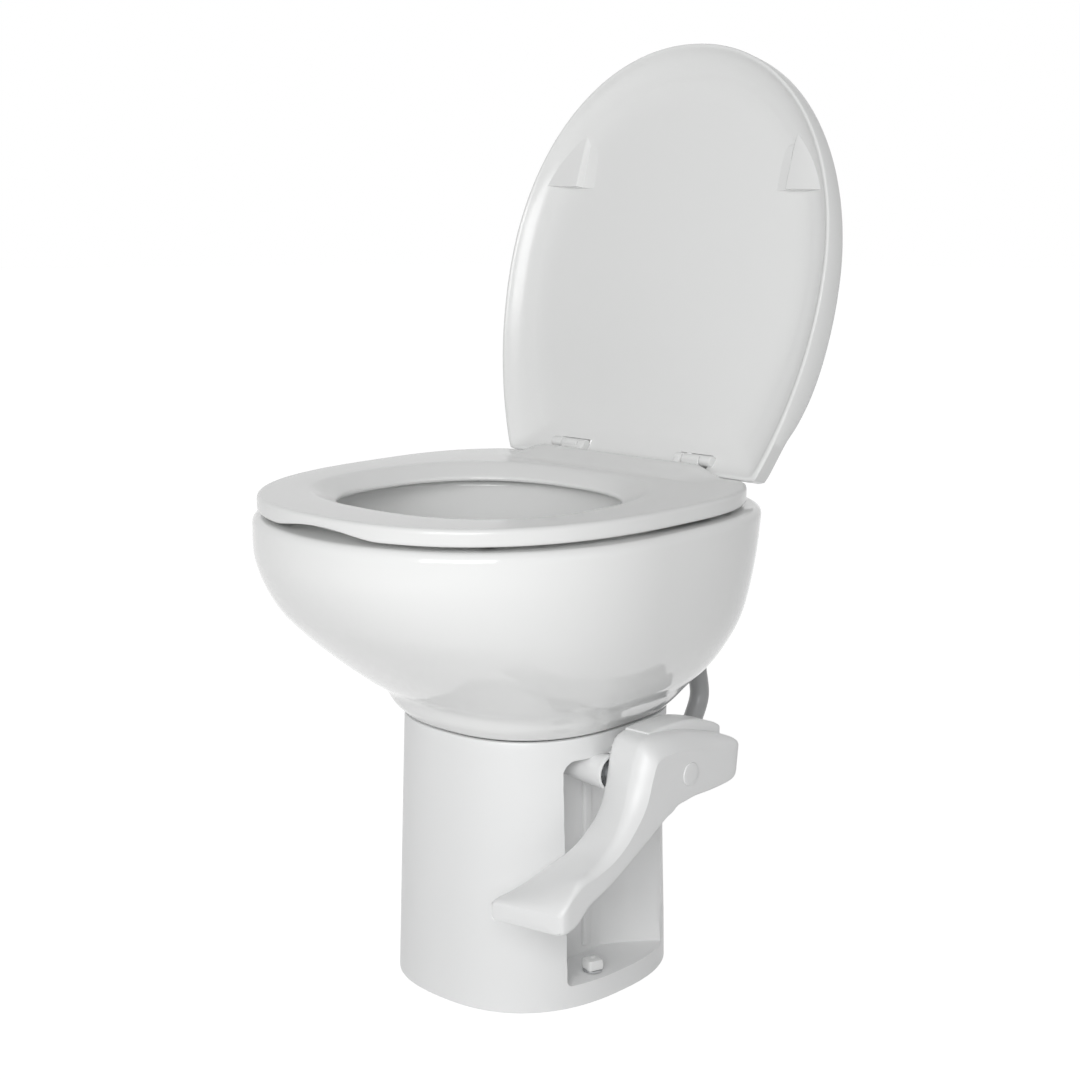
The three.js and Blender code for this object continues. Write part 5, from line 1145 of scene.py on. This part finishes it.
class TOILET_OT_pedal(bpy.types.Operator):
    """Makes the pedal lever, its hub cover and its pivot cap"""

    bl_idname = "toilet.pedal"
    bl_label = "Pedal"

    def execute(self, context):
        ridge = context.scene.toilet_sizes.ridge / MM
        rings = pedal_rings(np.linspace(0, 1, 110), ridge)
        lever = mesh_piece("pedal_arm", [(round_ends(rings, 2.5), False)], 42)
        face = PEDAL["outer"]
        socket = rounded_disc(SOCKET["radius"], face - SOCKET["depth"], face + 12, 0.4)
        socket = turned(socket, PIVOT, "x", 64)
        carve(lever, socket)
        settle(lever, "pedal", "satin_plastic", "pedal_lever")
        c = PIVOT_CAP
        cap = np.vstack([[[0.01, c["start"]], [c["radius"], c["start"]]],
                         arc((9.5, face + 0.1), 0.8, 0, 80, 5),
                         [[6.0, face + 1.0], [0.01, face + c["rise"]]]])
        add("pivot_plug", [(turned(cap, PIVOT, "x", 64), False)],
            "pedal", "satin_plastic", "pivot_cap")
        self.make_cover()
        dress("satin_plastic", "sector_gear")
        dress("brushed_steel", "pivot_axle")
        return {"FINISHED"}

    def make_cover(self):
        """The cover follows the hub's top edge and stands a little above it."""
        rows = np.array(PEDAL_SHARES)[1:6]
        t = np.linspace(0, 1, 40)
        stops = np.linspace(0, 1, len(rows))
        y = PEDAL["rear"] - PEDAL["length"] * smooth_table(stops, rows[:, 2], t)
        top = PEDAL["low"] + PEDAL["height"] * smooth_table(stops, rows[:, 3], t)
        high = top + COVER_RISE * smooth_table(stops, COVER_SHARES, t)
        x0, x1 = COVER_X
        r = COVER_ROUND
        across = [(r * (1 - np.sin(a)), -r * (1 - np.cos(a))) for a in quarter(6)]
        lines = [(x0, top - COVER_SIDE)]
        lines += [(x0 + x, high + drop) for x, drop in sorted(across)]
        lines += [(x1 - x, high + drop) for x, drop in sorted(across, reverse=True)]
        lines.append((x1, top - COVER_SIDE))
        grid = np.stack([np.stack([np.full(len(t), x), y, z], -1) for x, z in lines], 1)
        add("hub_cover", [(round_ends(grid, 1.2, 4), False)],
            "pedal", "satin_plastic", "pedal_cover", smooth=42)


class TOILET_OT_drive(bpy.types.Operator):
    """Makes the tapered spring cartridge and dresses the shaft's pieces"""

    bl_idname = "toilet.drive"
    bl_label = "Drive"

    def execute(self, context):
        c = CARTRIDGE
        t = np.linspace(0, 1, 24)
        x = c["start"] - 2 + (c["end"] - c["start"] + 2 - 0.6) * t
        radius = c["root"] + (c["tip"] - c["root"]) * t ** c["taper"]
        x = np.r_[x, c["end"] - 0.2, c["end"], c["end"], c["end"] - 0.4, c["cup"] + 0.5, c["cup"]]
        radius = np.r_[radius, c["tip"] - 0.1, c["tip"] - 0.6, c["bore"] + 0.5, c["bore"],
                       c["bore"], c["bore"] - 1]
        lag = np.clip(1 - (x - c["start"]) / (c["end"] - c["start"]), 0, 1)
        a = even_angles(72)
        y = VALVE_Y + c["shift"] * lag[:, None] + radius[:, None] * np.cos(a)
        z = SHAFT_Z - c["drop"] * lag[:, None] + radius[:, None] * np.sin(a)
        cone = np.stack([np.broadcast_to(x[:, None], y.shape), y, z], -1)
        hub = mesh_piece("cartridge_cone", [(cone, False)])
        room = rounded_disc(c["sector_room"], c["cup"], c["room_end"], 0.3)
        room = turned(room, PIVOT, "x", 96)
        carve(hub, room)
        settle(hub, "base", "satin_plastic", "spring_cartridge")
        dress("grey_plastic", "shaft_pinion", "ball_shaft", "ball_stub")
        dress("satin_plastic", "cartridge_lid")
        dress("brushed_steel", "return_spring")
        return {"FINISHED"}


class TOILET_OT_flush(bpy.types.Operator):
    """Makes the ball, its seal and the bowl's gasket, and dresses the valve's housing and the clamp
    """

    bl_idname = "toilet.flush"
    bl_label = "Flush valve"

    def execute(self, context):
        outer = arc((0.0, SHAFT_Z), BALL, 10, 89.9, 40)
        inner = arc((0.0, SHAFT_Z), BALL - BALL_WALL, 89.9, 11, 30)
        cap = turned(np.vstack([outer, inner]), (0.0, VALVE_Y), count=112)
        shells = [(cap, False)]
        for side, _ in SIDES:
            low, high = span(side, BALL_EAR["near"], BALL_EAR["far"])
            ear = rounded_disc(BALL_EAR["radius"], low, high, 1.2)
            ear = turned(ear, (VALVE_Y, SHAFT_Z), "x", 48)
            shells.append((ear, False))
        add("half_ball", shells, "flush", "grey_plastic", "flush_ball")
        s = SEAL
        inner_r = np.sqrt(BALL ** 2 - (s["touch"] - SHAFT_Z) ** 2) + RUN_GAP
        lip = np.vstack([[[inner_r, s["low"]]],
                         arc((s["outer"], s["low"] + s["edge"]), s["edge"], -90, 0, 4),
                         arc((s["outer"], s["top"] - s["edge"]), s["edge"], 0, 90, 4),
                         [[inner_r - s["lip"], s["top"]], [inner_r - s["bore"], s["top"] - 2]]])
        add("throat_seal", [(turned(lip, (0.0, VALVE_Y), count=112), True)],
            "base", "black_rubber", "ball_seal")
        dress("grey_plastic", "valve_housing", "bowl_clamp_front", "bowl_clamp_rear")
        dress("brushed_steel", *(f"clamp_screw_{number}" for number in range(1, 5)))
        ring = pedestal_section(np.array([PED_TOP + FIT] * 2 + [BOWL["foot"] - FIT] * 2), 0)
        near, far = GASKET_INSET
        ring[:, :3] += np.outer([near, far, far, near], [-1, 1, -1])
        add("rim_gasket", [(ovals(ring, even_angles(BOWL_POINTS)), True)],
            "base", "black_rubber", "bowl_gasket")
        dress("black_rubber", "floor_seal")
        return {"FINISHED"}


class TOILET_OT_water(bpy.types.Operator):
    """Makes the hose, its clamps and the water valve, and dresses the nozzle and the inlet"""

    bl_idname = "toilet.water"
    bl_label = "Water line"

    def execute(self, context):
        w = WATER
        start = np.array([w["valve_x"], w["port_y"], w["valve_top"] + 0.3])
        reach = np.array([w["nozzle"][0], w["bend_y"], w["nozzle"][2]]) - start
        route = start + np.array(HOSE_SHARES) * reach
        route = np.vstack([route, w["nozzle"], [w["nozzle"][0], HOSE_END_Y, w["nozzle"][2]]])
        run = np.r_[0, np.cumsum(np.linalg.norm(np.diff(route, axis=0), axis=1))]
        path = smooth_table(run, route, np.linspace(0, run[-1], 120))
        add("water_line", [(tube(path, w["hose"], 40, w["bore"]), True)],
            "base", "hose_plastic", "water_hose", smooth=50)
        low = w["valve_top"] + RUN_GAP
        s = BAND_SCREW
        x, y = w["valve_x"], w["port_y"]
        screw = soft_box([x - s["half"], y + s["start"], low + s["inset"]],
                         [x + s["half"], y + s["end"], low + BAND["width"] - s["inset"]],
                         1.2, 24, 4)
        band = turned(self.band_profile(low), (x, y), count=64)
        add("lower_band", [(band, True), (screw, False)],
            "base", "brushed_steel", "hose_clamp_lower")
        x, _, z = w["nozzle"]
        band = turned(self.band_profile(HOSE_END_Y + FIT), (x, z), "y", 64)
        add("upper_band", [(band, True)],
            "base", "brushed_steel", "hose_clamp_upper")
        self.make_valve()
        dress("grey_plastic", "water_inlet", "bowl_nozzle")
        dress("brushed_steel", "valve_screw_1", "valve_screw_2")
        return {"FINISHED"}

    def band_profile(self, low):
        """Profile of a hose clamp's band that starts at a height along the hose."""
        inner = WATER["hose"] + BAND["gap"]
        return rounded_ring(inner, inner + BAND["thick"], low, low + BAND["width"], BAND["edge"])

    def make_valve(self):
        """Valve body with rounded edges, its screwed plate, a bonnet and the hose port."""
        low, high = drawing_box("water_valve")
        w = WATER
        top, port = w["valve_top"], (w["valve_x"], w["port_y"])
        plate_top = top - w["valve_height"]
        v = VALVE
        body = soft_box([*low[:2], plate_top], [*high[:2], top], 3.0, 40, 5)
        plate = soft_box(low, [high[0], low[1] + v["plate"], plate_top + v["plate_over"]],
                         1.0, 40, 4)
        bonnet = turned(rounded_ring(v["bore"], v["bonnet"], top - 1, top + 2, 0.8), port, count=56)
        spout = turned(rounded_ring(v["bore"], v["spout"], top - 2, top + 6, 0.4), port, count=56)
        ribs = [(soft_box([low[0], y, plate_top + 4], [high[0], y + v["rib"], top + 0.6],
                          0.5, 24, 3), False) for y in v["ribs"]]
        shells = [(body, False), (plate, False), (bonnet, True), (spout, True), *ribs]
        add("valve_body", shells, "base", "grey_plastic", "water_valve")


class TOILET_OT_fixings(bpy.types.Operator):
    """Makes the bolt caps and dresses the floor bolts"""

    bl_idname = "toilet.fixings"
    bl_label = "Floor fixings"

    def execute(self, context):
        a = even_angles(48)
        power = CAP_POWER
        shape = (np.abs(np.cos(a)) ** power + np.abs(np.sin(a)) ** power) ** (-1 / power)
        r = (CAP_HALF - np.array(CAP_INSETS))[:, None] * shape[None, :]
        for side, word in SIDES:
            low, high = drawing_box(f"bolt_cap_{word}")
            z = low[2] + (high[2] - low[2]) * np.array(CAP_HEIGHT_SHARES)
            turn = a + side * CAP_TURN
            centre = (side * FLOOR_BOLT[0], FLOOR_BOLT[1])
            cap = np.stack([centre[0] + r * np.cos(turn), centre[1] + r * np.sin(turn),
                            np.broadcast_to(z[:, None], r.shape)], -1)
            obj = mesh_piece(f"cap_{word}", [(cap, False)], 35)
            hole = rounded_disc(CAP_HOLE["radius"], high[2] - CAP_HOLE["depth"], high[2] + 3, 0.2)
            hole = turned(hole, centre, count=32)
            carve(obj, hole)
            settle(obj, "base", "gloss_plastic", f"bolt_cap_{word}")
            dress("brushed_steel", f"floor_bolt_{word}", f"floor_washer_{word}",
                  f"floor_nut_{word}")
        return {"FINISHED"}


class TOILET_PT_panel(bpy.types.Panel):
    """Lists the steps and the values"""

    bl_idname = "TOILET_PT_panel"
    bl_label = "RV Toilet"
    bl_space_type = "VIEW_3D"
    bl_region_type = "UI"
    bl_category = "RV Toilet"

    def draw(self, context):
        for group in (context.scene.toilet_sizes, context.scene.toilet_colours,
                      context.scene.toilet_lights):
            for key in group.__annotations__:
                self.layout.prop(group, key)
        for step in STEPS:
            self.layout.operator(step.bl_idname)


STEPS = (TOILET_OT_finishes, TOILET_OT_stage, TOILET_OT_bowl, TOILET_OT_seat, TOILET_OT_lid,
         TOILET_OT_hinges, TOILET_OT_pedestal, TOILET_OT_pedal, TOILET_OT_drive, TOILET_OT_flush,
         TOILET_OT_water, TOILET_OT_fixings)
GROUPS = {"toilet_colours": ToiletColours, "toilet_lights": ToiletLights,
          "toilet_sizes": ToiletSizes}
CLASSES = (*GROUPS.values(), *STEPS, TOILET_PT_panel)


def register():
    for cls in CLASSES:
        bpy.utils.register_class(cls)
    for name, group in GROUPS.items():
        setattr(bpy.types.Scene, name, PointerProperty(type=group))


def unregister():
    for name in GROUPS:
        delattr(bpy.types.Scene, name)
    for cls in reversed(CLASSES):
        bpy.utils.unregister_class(cls)


def main():
    register()
    bpy.ops.toilet.finishes()
    bpy.ops.toilet.stage()
    bpy.ops.toilet.bowl()
    bpy.ops.toilet.seat()
    bpy.ops.toilet.lid()
    bpy.ops.toilet.hinges()
    bpy.ops.toilet.pedestal()
    bpy.ops.toilet.pedal()
    bpy.ops.toilet.drive()
    bpy.ops.toilet.flush()
    bpy.ops.toilet.water()
    bpy.ops.toilet.fixings()


if __name__ == "__main__":
    main()
